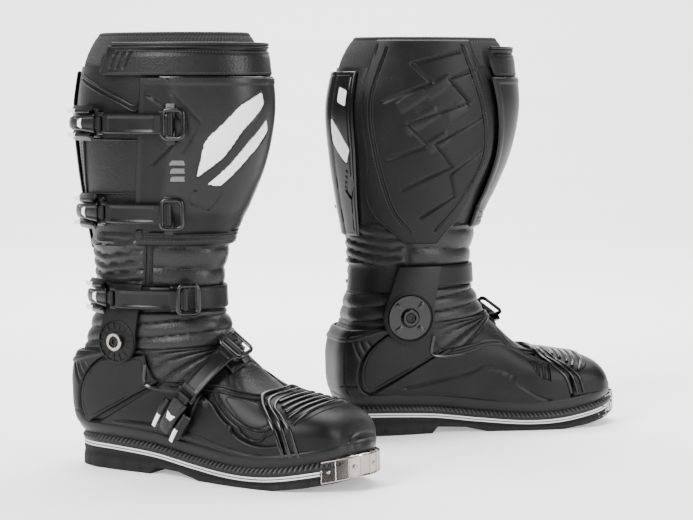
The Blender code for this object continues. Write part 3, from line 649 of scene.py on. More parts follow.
def finish(name, dark, light, smooth, rough, cells=0.0, depth=0.00012, creases=0.3, metallic=0.0,
           rubbing=0.3, dust=0.2, scale=30.0, brushed=False, sheen=0.0, coat=0.0, shine=0.30, warm=0.0):
    """A Principled material whose colour, roughness and bump come from the shared groups."""
    made = bpy.data.materials.new(name)
    made.use_nodes = True
    tree = made.node_tree
    shader = tree.nodes["Principled BSDF"]
    shader.inputs["Metallic"].default_value = metallic
    shader.inputs["Sheen Weight"].default_value = sheen
    shader.inputs["Coat Weight"].default_value = coat
    shader.inputs["Coat Roughness"].default_value = 0.25
    shader.inputs["Specular IOR Level"].default_value = shine
    tone = group_node(tree, "tone", dark=grey(dark, warm), light=grey(light, warm), smooth=smooth,
                      rough=rough, scale=scale, rubbing=rubbing, dust=dust)
    tree.links.new(tone.outputs["Color"], shader.inputs["Base Color"])
    tree.links.new(tone.outputs["Roughness"], shader.inputs["Roughness"])
    if brushed:
        height = group_node(tree, "brushing", fineness=cells)
    else:
        height = group_node(tree, "grain", cells=cells, creases=creases)
    bump = tree.nodes.new("ShaderNodeBump")
    bump.inputs["Distance"].default_value = depth
    tree.links.new(height.outputs["Height"], bump.inputs["Height"])
    tree.links.new(bump.outputs["Normal"], shader.inputs["Normal"])
    return made


FINISHES = {
    "leather": finish("black_leather", 0.003, 0.008, 0.34, 0.50, cells=650, depth=0.00022, creases=0.8,
                      shine=0.20),
    "soft_leather": finish("soft_leather", 0.003, 0.009, 0.38, 0.56, cells=520, depth=0.00028, creases=1.2,
                           shine=0.22),
    "matt_plastic": finish("matt_plastic", 0.003, 0.007, 0.34, 0.48, cells=1400, depth=0.00008, creases=0.3,
                           shine=0.17),
    "gloss_plastic": finish("gloss_plastic", 0.002, 0.005, 0.14, 0.28, cells=900, depth=0.00003,
                            creases=0.5, shine=0.42),
    "buckle_plastic": finish("buckle_plastic", 0.003, 0.007, 0.24, 0.40, cells=1600, depth=0.00006,
                             dust=0.1, shine=0.26),
    "satin_panel": finish("satin_panel", 0.008, 0.016, 0.42, 0.56, cells=1300, depth=0.00008, shine=0.22),
    "grey_plastic": finish("grey_plastic", 0.05, 0.08, 0.30, 0.45, cells=1200, depth=0.00006),
    "soft_rubber": finish("soft_rubber", 0.003, 0.007, 0.34, 0.48, cells=1500, depth=0.00010, creases=0.4,
                          shine=0.17),
    "outsole": finish("outsole_rubber", 0.003, 0.007, 0.60, 0.85, cells=1100, depth=0.00018, dust=0.4,
                      shine=0.18),
    "knit": finish("knit", 0.007, 0.020, 0.80, 0.97, cells=1100, depth=0.00040, rubbing=0.5, sheen=0.10,
                   shine=0.2),
    "thread": finish("thread", 0.016, 0.040, 0.38, 0.55, cells=2600, depth=0.00010, rubbing=0.0),
    "lining": finish("lining", 0.020, 0.035, 0.75, 0.95, cells=1600, depth=0.00030, dust=0.0, sheen=0.2),
    "mesh": finish("mesh_fabric", 0.10, 0.20, 0.55, 0.75, cells=1800, depth=0.00050, rubbing=0.6),
    "pale": finish("pale_plastic", 0.72, 0.84, 0.30, 0.42, cells=900, depth=0.00003, rubbing=0.0,
                   dust=0.10),
    "band": finish("pale_rubber", 0.60, 0.75, 0.40, 0.60, cells=900, depth=0.00005, rubbing=0.0, dust=0.35),
    "steel": finish("brushed_steel", 0.20, 0.38, 0.12, 0.26, cells=1500, depth=0.00004, metallic=1.0,
                    rubbing=0.0, dust=0.15, brushed=True, warm=0.07),
}
print(len(FINISHES), "finishes")

# %% [markdown]
# ## Standing a piece in both boots
#
# `fit` is the last step of every piece. It copies the mesh to the right and to the left boot, shades it
# smooth with sharp edges kept, gives it its finish, parents it to the empty of the body that carries it (the
# bellows keeps its place baked in instead) and hides the plain solids that it stands for. A piece that
# follows the whole boot rides on the feet; one above the ankle rides on its shaft.

# %% The fitting function
SHARP = math.radians(38)
fitted = []


def fit(name, source, look, body, slot, stands_for=(), bends=False):
    """Copies a piece drawn at the origin to both boots. A body is feet, or one of each boot's own bodies."""
    mesh = to_mesh(source, name) if isinstance(source, bmesh.types.BMesh) else source
    made = []
    for side, place in PLACES.items():
        copy = mesh.copy()
        copy.transform(place)
        if side == "left":
            copy.flip_normals()
        copy.shade_smooth()
        copy.set_sharp_from_angle(angle=SHARP)
        copy.materials.clear()
        copy.materials.append(FINISHES[look])
        piece = bpy.data.objects.new(f"{side}_{name}", copy)
        bpy.context.scene.collection.objects.link(piece)
        if bends:
            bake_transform(piece)
        else:
            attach(piece, body if body == "feet" else f"{side}_{body}")
        if stands_for:
            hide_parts(*(f"{side}_{node}" for node in stands_for))
        made.append(piece)
    fitted.append((name, len(mesh.polygons)))
    print(f"{name}: {len(mesh.polygons)} faces")
    return made


def panel(name, surface, rows, grid, out, relief, wall, look, body, slot, closed=False, **kept):
    """A sheet with (columns, steps) in its grid, fitted to both boots."""
    made = sheet(name, surface, rows, *grid, out, relief, wall, closed)
    return fit(name, made, look, body, slot, **kept)

# %% [markdown]
# ## The sole
#
# The outsole's underside, with its bars and heel step, is right in the frame, so it stays and gets a rubber
# finish. Its sides are what a buyer sees, so a skin with lugs is laid round them. Above it come the pale
# midsole band with a grey line in a groove, and the welt: a rounded strip whipped to the upper with coarse
# loops of thread.

# %% The outsole's sides and the midsole band
BAND_BELOW, BAND_ABOVE, WELT_LOW, WELT_TOP = -0.0024, 0.0019, 0.0023, 0.0090
LOOP = 360.0


def sole_side(low_gap):
    """A form from the tread's edge, at level 0, up to the band, at level 1."""
    def place(angle, level, out=0.0):
        at = on_sole(np.asarray(angle) / LOOP, 0.0, out)
        low = tread_height(at[..., 0]) + low_gap
        at[..., 2] = low + (at[..., 2] + BAND_BELOW - low) * level
        return at
    return place


def lugs(spots):
    """Blocks with rounded gaps between them, deepest at the ground, under a plain rim."""
    beat = pillow(spots.angle * 34 / LOOP, 0.25)
    return (0.0012 * beat * (1 - soft((spots.level - 0.45) / 0.25))
            + 0.0006 * soft((spots.level - 0.7) / 0.2))


panel("outsole_sides", sole_side(0.0003), ((0, 0, LOOP), (1, 0, LOOP)), (420, 9), 0.0004, lugs, 0.0010,
      "outsole", "feet", "outsole_rubber", closed=True)


def on_band(angle, level, out=0.0):
    return on_sole(np.asarray(angle) / LOOP, level, out)


def band_line(spots):
    middle = (BAND_BELOW + BAND_ABOVE) / 2
    return groove(np.abs(spots.level - middle), 0.0017, 0.0007) + rolled_edge(spots, 0.0006, 0.0004)


panel("midsole_band", on_band, ((BAND_BELOW, 0, LOOP), (BAND_ABOVE, 0, LOOP)), (300, 12), 0.0010, band_line,
      0.0012, "band", "feet", "outsole_rubber", closed=True)

line = bmesh.new()
turns = np.linspace(0, LOOP, 300, endpoint=False)
roll(line, on_band(turns, (BAND_BELOW + BAND_ABOVE) / 2, 0.0006), 0.0006, 6, closed=True)
fit("band_line", line, "grey_plastic", "feet", "outsole_rubber")


# %% The welt and its stitching
def welt_form(spots):
    """A rounded shoulder, full at the middle and drawn in at the top."""
    share = (spots.level - WELT_LOW) / (WELT_TOP - WELT_LOW)
    return 0.0016 * np.sqrt(np.clip(1 - (2 * share - 0.9) ** 2 / 1.3, 0,
                                    1)) - 0.0060 * soft((share - 0.72) / 0.28)


panel("welt_strip", on_band, ((WELT_LOW, 0, LOOP), (WELT_TOP + 0.0006, 0, LOOP)), (300, 14), 0.0, welt_form,
      0.0014, "soft_rubber", "feet", "leather", closed=True)

whipping = bmesh.new()
for turn in np.linspace(0, LOOP, 150, endpoint=False):
    foot_end = on_band(turn, WELT_LOW + 0.0032, 0.0022)
    head_end = on_band(turn + 1.5, WELT_TOP + 0.0010, -0.0014)
    run = Vector(head_end - foot_end)
    shape = Matrix.Diagonal((0.0012, 0.0014, run.length / 2 + 0.0006, 1))
    middle = Matrix.Translation(Vector(foot_end
                                       + head_end) / 2) @ run.to_track_quat("Z", "Y").to_matrix().to_4x4()
    bmesh.ops.create_uvsphere(whipping, u_segments=6, v_segments=4, radius=1, matrix=middle @ shape)
fit("welt_whipping", whipping, "thread", "feet", "leather")

# %% [markdown]
# ## The toe guard
#
# A strip of nickel-plated steel is folded round the toe in flat facets, with its top edge cut into tabs
# that are bent in over the welt, and is held by small rivets. The facets matter more than anything else
# here: flat metal gives each one its own clear reflection. So the grid is coarse on purpose and its upright
# folds get a small bevel.

# %% The folded toe guard
GUARD_LOW, GUARD_HIGH, GUARD_SPREAD, GUARD_FACETS = 0.0150, 0.0340, 62.0, 9


def on_toe(angle, height, out=0.0):
    """The toe's outline as an ellipse; the guard rises along the toe's spring."""
    centre, reach, half = 0.262, 0.0562, 0.0480
    turn = np.radians(angle)
    x = centre + (reach + out) * np.cos(turn)
    spring = band_height(x) - band_height(SOLE_LENGTH)
    return np.stack(np.broadcast_arrays(x, -(half + out) * np.sin(turn), height + spring), -1)


def guard_lean(angle, height):
    """How far the facets at both ends lean back at the top, so that they mirror the sky and not the floor."""
    climb = (height - GUARD_LOW) / (GUARD_HIGH - GUARD_LOW)
    return -0.0032 * soft((np.abs(angle) - 12) / 38) * climb


guard = bmesh.new()
lay_grid(guard, on_toe,
         ((GUARD_LOW, -GUARD_SPREAD, GUARD_SPREAD), (GUARD_HIGH, -GUARD_SPREAD, GUARD_SPREAD)),
         GUARD_FACETS, 1, 0.0028, lambda spots: guard_lean(spots.angle, spots.level))
folds = [e for e in guard.edges if not e.is_boundary]
bmesh.ops.bevel(guard, geom=folds, offset=0.0009, segments=2, profile=0.5, affect="EDGES", material=-1)
fit("toe_guard_plate", thicken(to_mesh(guard, "toe_guard_plate"), 0.0016), "steel", "feet", "steel",
    stands_for=("toe_guard",))

fold_turns = np.linspace(-GUARD_SPREAD, GUARD_SPREAD, GUARD_FACETS + 1)
guard_ridges = bmesh.new()
for height, radius in ((GUARD_LOW, 0.0010), (GUARD_HIGH, 0.0013)):
    rim_line = on_toe(fold_turns, height, 0.0026 + guard_lean(fold_turns, height))
    roll(guard_ridges, straight_through(rim_line, 4), radius, 8)
for turn in fold_turns:
    heights = np.linspace(GUARD_LOW, GUARD_HIGH, 5)
    roll(guard_ridges, on_toe(np.full(5, turn), heights, 0.0027 + guard_lean(turn, heights)), 0.0009, 8)
fit("toe_guard_ridges", guard_ridges, "steel", "feet", "steel")

tabs = bmesh.new()
facet = 2 * GUARD_SPREAD / GUARD_FACETS
for number in range(GUARD_FACETS):
    middle_turn = -GUARD_SPREAD + facet * (number + 0.5)
    base = Vector(on_toe(middle_turn, GUARD_HIGH + 0.0006, 0.0018 + guard_lean(middle_turn, GUARD_HIGH)))
    inward = Vector(on_toe(middle_turn, GUARD_HIGH, -0.006)) - base
    inward.z = 0
    inward.normalize()
    aside = Vector((0, 0, 1)).cross(inward)
    axes = Matrix((aside, inward, Vector((0, 0, 1)))).transposed().to_4x4()
    frame_of_tab = Matrix.Translation(base) @ axes
    half = 0.0040
    tab = [(-half, 0), (half, 0), (half * 0.75, 0.0058), (-half * 0.75, 0.0058)]
    slab(tabs, tab, -0.0008, 0.0006, frame_of_tab @ Matrix.Rotation(0.18, 4, "X"), 0.0003)
    if number % 2 == 0:
        face_point = Vector(on_toe(middle_turn, (GUARD_LOW + GUARD_HIGH) / 2, 0.0024))
        look_out = Matrix.Translation(face_point) @ (-inward).to_track_quat("Z", "Y").to_matrix().to_4x4()
        turned(tabs, ((0, 0.0013), (0.0009, 0.0011), (0.0017, 0.0006), (0.0019, 0), (0, 0)), look_out, 12)
fit("toe_guard_tabs", tabs, "steel", "feet", "steel")

# %% Finishes for the frame's own pieces that stay
for side in PLACES:
    for node, look in (("outsole", "outsole"), ("welt", "soft_rubber"), ("footbed", "lining")):
        materials = frame["nodes"][f"{side}_{node}"].data.materials
        materials.clear()
        materials.append(FINISHES[look])
print("outsole, welt and footbed have their finishes")

# %% [markdown]
# ## The rand
#
# Where the upper turns under, a rand closes the corner: a rubber strip that stands on the welt and leans
# against the foot. Its foot is the sole's outline moved in, and its top is wherever a level ray from
# outside meets the foot. A ray finds that place on any form, with no formula for it.

# %% The rand between the welt and the upper
RAND_HEIGHT, RAND_INSET = 0.0150, 0.0034
# The rays start outside the sole and run inwards; the foot's leather and its plates are met on the way.
RAY_START, RAY_AIM, RAY_LENGTH, RAND_STATIONS = 0.030, -0.010, 0.09, 361
probe_body = bmesh.new()
lay_grid(probe_body, on_foot, ((0, 180, -180), (11, 180, -180)), 120, 110, 0.0030, None, closed=True)
foot_tree = BVHTree.FromBMesh(probe_body)
probe_body.free()
rand_turns = np.linspace(0, LOOP, RAND_STATIONS)
rand_foot = on_band(rand_turns, WELT_TOP - 0.0010, -RAND_INSET)
outside = on_band(rand_turns, WELT_TOP + RAND_HEIGHT, RAY_START)
inward = on_band(rand_turns, WELT_TOP + RAND_HEIGHT, RAY_AIM) - outside
hits = [foot_tree.ray_cast(Vector(start), Vector(run).normalized(), RAY_LENGTH)[0]
        for start, run in zip(outside, inward)]
rand_top = np.array([hit or foot + np.array([0, 0, RAND_HEIGHT]) for hit, foot in zip(hits, rand_foot)])
rand_away = -inward / np.linalg.norm(inward, axis=1, keepdims=True)


def on_rand(angle, level, out=0.0):
    """From the welt, at level 0, up to the foot's side, at level 1."""
    angle, level, out = np.broadcast_arrays(np.asarray(angle, float), level, out)
    foot, top, away = (np.stack([np.interp(angle, rand_turns, table[:, k]) for k in range(3)], -1)
                       for table in (rand_foot, rand_top, rand_away))
    return foot + (top - foot) * level[..., None] + away * out[..., None]


def rand_relief(spots):
    return 0.0016 * np.sin(np.pi * np.clip(spots.level, 0, 1)) - 0.0026 * soft((spots.level - 0.86) / 0.14)


panel("rand", on_rand, ((0, 0, LOOP), (1, 0, LOOP)), (260, 12), 0.0014, rand_relief, 0.0020, "soft_rubber",
      "feet", "soft_rubber", closed=True)

# %% [markdown]
# ## The leather foot
#
# The foot is one leather shell from toe to cuff. Over the instep it is quilted: foam is sewn under the
# leather in diagonal bolsters, so that it bends where the foot bends. The bolsters are a pillow profile
# across a slanted count of levels, faded out towards the sides where the harder guards begin.

# %% The foot upper
# Every plate's outer face stands this far out of the leather.
PLATE_OUT = 0.0046
INSTEP_START, INSTEP_END, BOLSTERS = 7.7, 12.1, 4.4


def instep_phase(angle, ring):
    """Which bolster a place is in; it grows towards the cuff, and slants down to the outer side."""
    return (ring - INSTEP_START + 0.011 * np.abs(angle)) / (INSTEP_END - INSTEP_START) * BOLSTERS


def foot_relief(spots):
    over = soft((86 - np.abs(spots.angle)) / 14) * soft((spots.level - INSTEP_START) / 0.3)
    quilt = 0.0032 * pillow(instep_phase(spots.angle, spots.level), 0.5) * over
    tongue = curve_through([(40, 5.0), (24, 5.6), (0, 5.9), (-24, 5.6), (-40, 5.0)], 40)
    second = curve_through([(46, 5.5), (26, 6.3), (0, 6.6), (-26, 6.3), (-46, 5.5)], 40)
    return quilt - groove(spots.near(tongue, second), 0.0030, -0.0012)


panel("foot_leather", on_foot, ((0, 180, -180), (CUFF, 180, -180)), (130, 120), 0.0, foot_relief, 0.0028,
      "soft_leather", "feet", "leather", closed=True, stands_for=("foot_upper",))

TIP_MIDDLE, TIP_BULGE = np.array([0.3060, 0.0050, 0.0400]), 0.0070


def on_tip(angle, share, out=0.0):
    """The toe's rounded end: from its middle, at share 0, to the first rings of the foot, at share 1."""
    angle, share, out = np.broadcast_arrays(np.asarray(angle, float), share, out)
    at = on_foot(angle, np.full(angle.shape, 0.12), PLATE_OUT - 0.0009 + out)
    at = TIP_MIDDLE + (at - TIP_MIDDLE) * share[..., None]
    at[..., 0] += TIP_BULGE * np.sqrt(np.clip(1 - share**2, 0, 1))
    return at


toe_tip = bmesh.new()
lay_grid(toe_tip, on_tip, ((0.0, 180, -180), (1.0, 180, -180)), 80, 16, 0.0, None, closed=True)
bmesh.ops.remove_doubles(toe_tip, verts=toe_tip.verts, dist=1e-5)
bmesh.ops.recalc_face_normals(toe_tip, faces=toe_tip.faces)
fit("toe_puff", thicken(to_mesh(toe_tip, "toe_puff"), 0.0025), "soft_rubber", "feet", "leather")


# %% The toe cap and its ribs
panel("toe_cap_shell", on_foot, ((0.06, 96, -96), (1.6, 98, -98), (3.0, 101, -101)), (110, 60), PLATE_OUT,
      plain_edge(0.0022, 0.0014), 0.0026, "soft_rubber", "feet", "moulded_plastic", stands_for=("toe_cap",))

# Each rib's reach to either side, its ring at the ends and its ring on the ridge.
TOE_RIBS = ((66, 2.74, 2.33), (56, 2.92, 2.56), (47, 3.06, 2.79), (39, 3.26, 3.04), (31, 3.48, 3.30))
ribs = bmesh.new()
for reach, end_ring, ridge_ring in TOE_RIBS:
    bend = ridge_ring + (end_ring - ridge_ring) * 0.40
    arc = curve_through([(reach, end_ring), (reach * 0.55, bend), (0, ridge_ring), (-reach * 0.55, bend),
                         (-reach, end_ring)], 60)
    roll(ribs, on_foot(arc[:, 0], arc[:, 1], 0.0060), 0.0019, 10)
fit("toe_ribs", ribs, "gloss_plastic", "feet", "moulded_plastic")

panel("toe_saddle", on_foot,
      ((2.05, 12, -12), (2.45, 58, -58), (2.95, 66, -66), (3.5, 52, -52), (4.0, 34, -34)), (70, 50), 0.0054,
      plain_edge(0.0030, 0.0022), 0.0026, "soft_rubber", "feet", "moulded_plastic")

# %% [markdown]
# ## Heel counter and foot guards
#
# The heel counter cups the heel and reaches up to the ankle pivots. The guards run along both sides above
# the welt. All are moulded, so their edges are rounded, their seams are soft grooves, and ribs stand where
# the mould can stiffen them. The raised parts are outlines in the panel's own angle and level, which keeps
# them where they belong when a boot is mirrored or moved.

# %% The heel counter
def counter_relief(spots):
    seam = [straight_through([(turn, 8.9), (turn, 11.4)]) for turn in (150, 210)]
    slants = [straight_through([(104 + shift, 9.9), (118 + shift, 10.7)]) for shift in (0, 9, 18)]
    slants += [straight_through([(256 - shift, 9.9), (242 - shift, 10.7)]) for shift in (0, 9, 18)]
    top = curve_through([(268, 11.45), (230, 11.0), (180, 10.9), (130, 11.0), (92, 11.45)], 40)
    ring = curve_through([(236, 9.2), (215, 9.35), (180, 9.4), (145, 9.35), (124, 9.2)], 30)
    return (rolled_edge(spots, 0.0024, 0.0016) + groove(spots.near(*seam), 0.0034, 0.0015)
            + groove(spots.near(*slants), 0.0044, 0.0018) + bead(spots.near(top), 0.0050, 0.0014)
            + groove(spots.near(ring), 0.0024, 0.0009))


panel("heel_shell", on_foot, ((8.75, 232, 128), (9.7, 234, 126), (10.8, 256, 104), (11.7, 272, 88)),
      (130, 80), PLATE_OUT, counter_relief, 0.0030, "matt_plastic", "feet", "moulded_plastic",
      stands_for=("heel_counter",))

# Level, and the angles of the heel plates' rear and front edges.
HEEL_PLATE_ROWS = ((8.80, 126, 79), (9.35, 125, 81), (9.80, 122, 83), (10.35, 111, 84), (10.9, 100, 85))


def side_plate_relief(spots):
    return rolled_edge(spots, 0.0022, 0.0016) + groove(np.abs(spots.border - 0.0045), 0.0014, 0.0006)


PLATE_SIDES = {"outer": HEEL_PLATE_ROWS,
               "inner": [(level, -front, -rear) for level, rear, front in HEEL_PLATE_ROWS]}
for side, rows in PLATE_SIDES.items():
    panel(f"{side}_heel_plate", on_foot, rows, (70, 60), PLATE_OUT - 0.0002, side_plate_relief, 0.0026,
          "matt_plastic", "feet", "moulded_plastic")

ears = bmesh.new()
EAR_RADIUS, EAR_LOW, EAR_HIGH = 0.0145, 0.0448, 0.0480
for turn in (90, -90):
    up = 1 if turn > 0 else -1
    rim = [(EAR_RADIUS * math.cos(a), up * EAR_RADIUS * math.sin(a))
           for a in np.linspace(-0.3, math.pi + 0.3, 30)]
    ankle = Matrix.Translation((ANKLE_X, 0, ANKLE_Z)) @ Matrix.Rotation(math.radians(turn), 4, "X")
    slab(ears, rim + [(-0.022, -up * 0.0160), (0.012, -up * 0.0125)], EAR_LOW, EAR_HIGH, ankle, 0.0006)
fit("pivot_ears", ears, "matt_plastic", "feet", "moulded_plastic")


# %% The outer and inner foot guards
def outer_guard_relief(spots):
    fold = curve_through([(106, 3.7), (104, 5.0), (102, 6.4), (106, 7.6), (111, 8.3)], 40)
    low = curve_through([(110, 3.7), (107, 5.0), (108, 6.8), (113, 8.2)], 40)
    ridge = straight_through([(84, 6.0), (81, 6.8), (84, 8.3)])
    return (rolled_edge(spots, 0.0026, 0.0018) + bead(spots.near(ridge), 0.0060, 0.0016)
            + groove(spots.near(fold), 0.0030, 0.0010) + bead(spots.near(low), 0.0050, 0.0012))


panel("outer_foot_shell", on_foot,
      ((3.05, 116, 91.5), (3.6, 116, 94), (4.0, 116, 94), (4.4, 116, 92.3), (4.75, 116, 90.3),
       (5.05, 116, 88.6), (5.35, 116, 85), (5.8, 117, 79), (6.8, 118, 76), (7.8, 121, 76), (8.60, 124, 78)),
      (60, 150), PLATE_OUT, outer_guard_relief, 0.0028, "matt_plastic", "feet", "moulded_plastic",
      stands_for=("outer_foot_guard",))

VENT = np.array([(-56, 3.85), (-60, 4.75), (-84, 4.25), (-86, 3.85)])


def inner_guard_relief(spots):
    top = curve_through([(-52, 3.7), (-50, 5.2), (-60, 6.6), (-78, 8.4)], 50)
    second = curve_through([(-58, 3.9), (-56, 5.2), (-66, 6.7), (-82, 8.3)], 50)
    ridge = curve_through([(-106, 3.8), (-92, 4.8), (-88, 6.0), (-96, 7.4), (-108, 8.2)], 50)
    vent = spots.inside(VENT)
    slats = bead(np.abs((spots.level * 4.4) % 1 - 0.5), 0.9, 0.0012)
    return (rolled_edge(spots, 0.0024, 0.0016) + bead(spots.near(top), 0.0030, 0.0012)
            + bead(spots.near(second), 0.0030, 0.0012) + groove(spots.near(ridge), 0.0050, 0.0014)
            - raised(vent, 0.0012, 0.0022) + slats * (vent > 0.0004))


panel("inner_foot_shell", on_foot,
      ((3.1, -62, -116), (4.2, -50, -116), (6.0, -54, -117), (8.75, -78, -124)), (75, 140), PLATE_OUT,
      inner_guard_relief, 0.0030, "soft_rubber", "feet", "soft_rubber", stands_for=("inner_foot_guard",))

# %% Glossy folds, seams and stitching of the foot
folds = bmesh.new()
# Half of each fold from the sole up to the ridge, with its distance out and its radius.
HALF_FOLDS = (
    (((108, 3.02), (92, 3.10), (75, 3.32), (54, 3.70), (38, 4.06), (26, 4.18), (12, 4.08), (0, 4.00)),
     0.0044, 0.0026),
    (((108, 2.80), (92, 2.88), (74, 3.06), (55, 3.36), (41, 3.72), (28, 3.88), (12, 3.80), (0, 3.72)),
     0.0050, 0.0022),
    (((108, 2.58), (92, 2.66), (76, 2.80), (62, 3.02), (50, 3.28), (39, 3.54), (20, 3.58), (0, 3.50)),
     0.0056, 0.0018),
)
for half, out, radius in HALF_FOLDS:
    arc = curve_through([*half, *((-turn, ring) for turn, ring in half[-2::-1])], 120)
    roll(folds, curve_through(on_foot(arc[::8, 0], arc[::8, 1], out), 120), radius, 10, flat=0.8)
fit("arch_folds", folds, "gloss_plastic", "feet", "leather")

ridges = bmesh.new()
for side in (1, -1):
    knots = [on_foot(side * turn, ring, PLATE_OUT)
             for turn, ring in ((84, 10.1), (86, 9.0), (82, 7.9), (71, 7.0))]
    roll(ridges, curve_through(knots, 60), 0.0020, 8, flat=0.7)
fit("guard_ridges", ridges, "gloss_plastic", "feet", "moulded_plastic")

foot_thread, foot_piping = bmesh.new(), bmesh.new()
for number in range(1, int(BOLSTERS) + 1):
    ring_at_front = INSTEP_START + number * (INSTEP_END - INSTEP_START) / BOLSTERS
    for side in (1, -1):
        path = curve_through([(side * turn, ring_at_front - 0.011 * turn) for turn in (2, 20, 40, 60, 80)],
                             30)
        path = path[(path[:, 1] > INSTEP_START + 0.1) & (path[:, 1] < CUFF - 0.1)]
        if len(path) > 3:
            sew(foot_thread, on_foot, path, 0.0006, pitch=0.0036, width=0.0011)
SIDE_PANEL = curve_through([(84, 8.8), (77, 7.9), (72, 6.9), (66, 6.14), (57, 5.60), (49, 5.14), (41, 4.75),
                            (34, 4.44), (27, 4.22)], 60)
PANEL_HOOK = curve_through([(68, 5.95), (78, 5.30), (85, 4.72), (88, 4.20), (88, 3.85), (84, 3.52),
                            (77, 3.36)], 60)
for panel_edge in (SIDE_PANEL, SIDE_PANEL * np.array([-1, 1]), PANEL_HOOK):
    for path in double_row(panel_edge, 0.0060, FOOT_SCALE):
        roll(foot_piping, on_foot(path[:, 0], path[:, 1], 0.0010), 0.0013, 8)
    sew(foot_thread, on_foot, panel_edge, 0.0008)
for path in double_row(curve_through([(96, 10.9), (90, 9.4), (88, 8.4), (92, 7.4)], 40), 0.0040,
                       FOOT_SCALE):
    sew(foot_thread, on_foot, path, 0.0010)
fit("foot_piping", foot_piping, "leather", "feet", "leather")
fit("foot_stitching", foot_thread, "thread", "feet", "leather")

panel("side_insets", on_foot,
      ((3.55, 72, 66), (3.80, 80, 53), (4.15, 83, 43), (4.55, 79, 46), (5.00, 71, 54), (5.35, 66, 60)),
      (30, 60), 0.0016, plain_edge(0.0030, 0.0014), 0.0016, "satin_panel", "feet", "leather")

# %% [markdown]
# ## The ankle
#
# Where the foot meets the shaft, a quilted bellows has to fold as the ankle turns. Outside it the hinge is
# rigid: two arms, each on a pivot, with a matt face cut by radial grooves, and a steel ring with a hexagon
# socket.

# %% The padded bellows
def shaft_low_edge(angle):
    return 0.155 + 0.003 * np.cos(np.radians(angle))


def on_bellows(angle, share, out=0.0):
    """Between the foot's cuff and the shaft's lower edge."""
    angle, share, out = np.broadcast_arrays(np.asarray(angle, float), share, out)
    cuff = on_foot(angle, np.full(angle.shape, float(CUFF)), out)
    cuff[..., 2] -= 0.004
    edge = on_shaft(angle, shaft_low_edge(angle) + 0.004, out)
    return cuff + (edge - cuff) * share[..., None]


def bellows_relief(spots):
    front = soft((100 - np.abs(spots.angle)) / 20)
    folds = pillow(spots.level * 3.0 - 0.42 * np.cos(np.radians(spots.angle)), 0.5)
    tucked = soft(np.minimum(spots.level, 1 - spots.level) / 0.12)
    return (0.0034 * front + 0.0026 * (1 - front)) * folds * tucked - 0.0020 * (1 - tucked)


for piece in panel("bellows", on_bellows, ((0, 180, -180), (1, 180, -180)), (150, 48), -0.0006,
                   bellows_relief,
                   0.0024, "soft_leather", None, "leather", closed=True, stands_for=("ankle_bellows",),
                   bends=True):
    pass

# %% [markdown]
# The arms are flat mouldings on the hinge's own frame, whose Z points out of the boot, so an outline in X
# and Y is all that they need. Their radial grooves are separate low bars set round the pivot.

# %% The ankle arms
ARM_LOW, ARM_HIGH = 0.0486, 0.0520


def ankle_frame(turn):
    """Centred on the ankle's axis, with Z out of the boot: 90 for the outer side and -90 for the inner."""
    return Matrix.Translation((ANKLE_X, 0, ANKLE_Z)) @ Matrix.Rotation(math.radians(turn), 4, "X")


def arm_outline(radius, up, top, rear, front):
    disc = [(radius * math.cos(a), up * radius * math.sin(a)) for a in np.linspace(2.85, 6.55, 40)]
    return disc + [(front, up * top), (rear, up * top)]


arms = bmesh.new()
slab(arms, arm_outline(0.0215, 1, 0.056, -0.006, 0.030), ARM_LOW, ARM_HIGH, ankle_frame(90), 0.0009)
slab(arms, arm_outline(0.0285, -1, 0.054, -0.012, 0.036), ARM_LOW, ARM_HIGH, ankle_frame(-90), 0.0009)
SPOKES = 14
for number in range(SPOKES):
    spoke = Matrix.Rotation(math.tau * number / SPOKES, 4, "Z")
    spoke_outline = [(0.0125, -0.0007), (0.0192, -0.0013), (0.0192, 0.0013), (0.0125, 0.0007)]
    slab(arms, spoke_outline, ARM_HIGH - 0.0003, ARM_HIGH + 0.0007, ankle_frame(90) @ spoke, 0.0002)
for turn, radius in ((90, 0.0206), (-90, 0.0272)):
    turned(arms, ((radius, ARM_HIGH - 0.0004), (radius, ARM_HIGH + 0.0009),
                  (radius - 0.0012, ARM_HIGH + 0.0012),
                  (radius - 0.0020, ARM_HIGH - 0.0004)), ankle_frame(turn), 48)
fit("ankle_arms", arms, "matt_plastic", "shaft", "moulded_plastic")

inner_face = bmesh.new()
turned(inner_face, ((0.0105, ARM_HIGH + 0.0006), (0.0105, ARM_HIGH + 0.0016), (0.0231, ARM_HIGH + 0.0016),
                    (0.0245, ARM_HIGH)), ankle_frame(-90), 64)
for number in range(4):
    slot = Matrix.Rotation(math.tau * (number + 0.5) / 4, 4, "Z")
    slot_outline = [(0.0128, -0.0020), (0.0215, -0.0034), (0.0215, 0.0034), (0.0128, 0.0020)]
    slab(inner_face, slot_outline, ARM_HIGH + 0.0010, ARM_HIGH + 0.0023, ankle_frame(-90) @ slot, 0.0006)
fit("inner_arm_face", inner_face, "gloss_plastic", "shaft", "moulded_plastic")

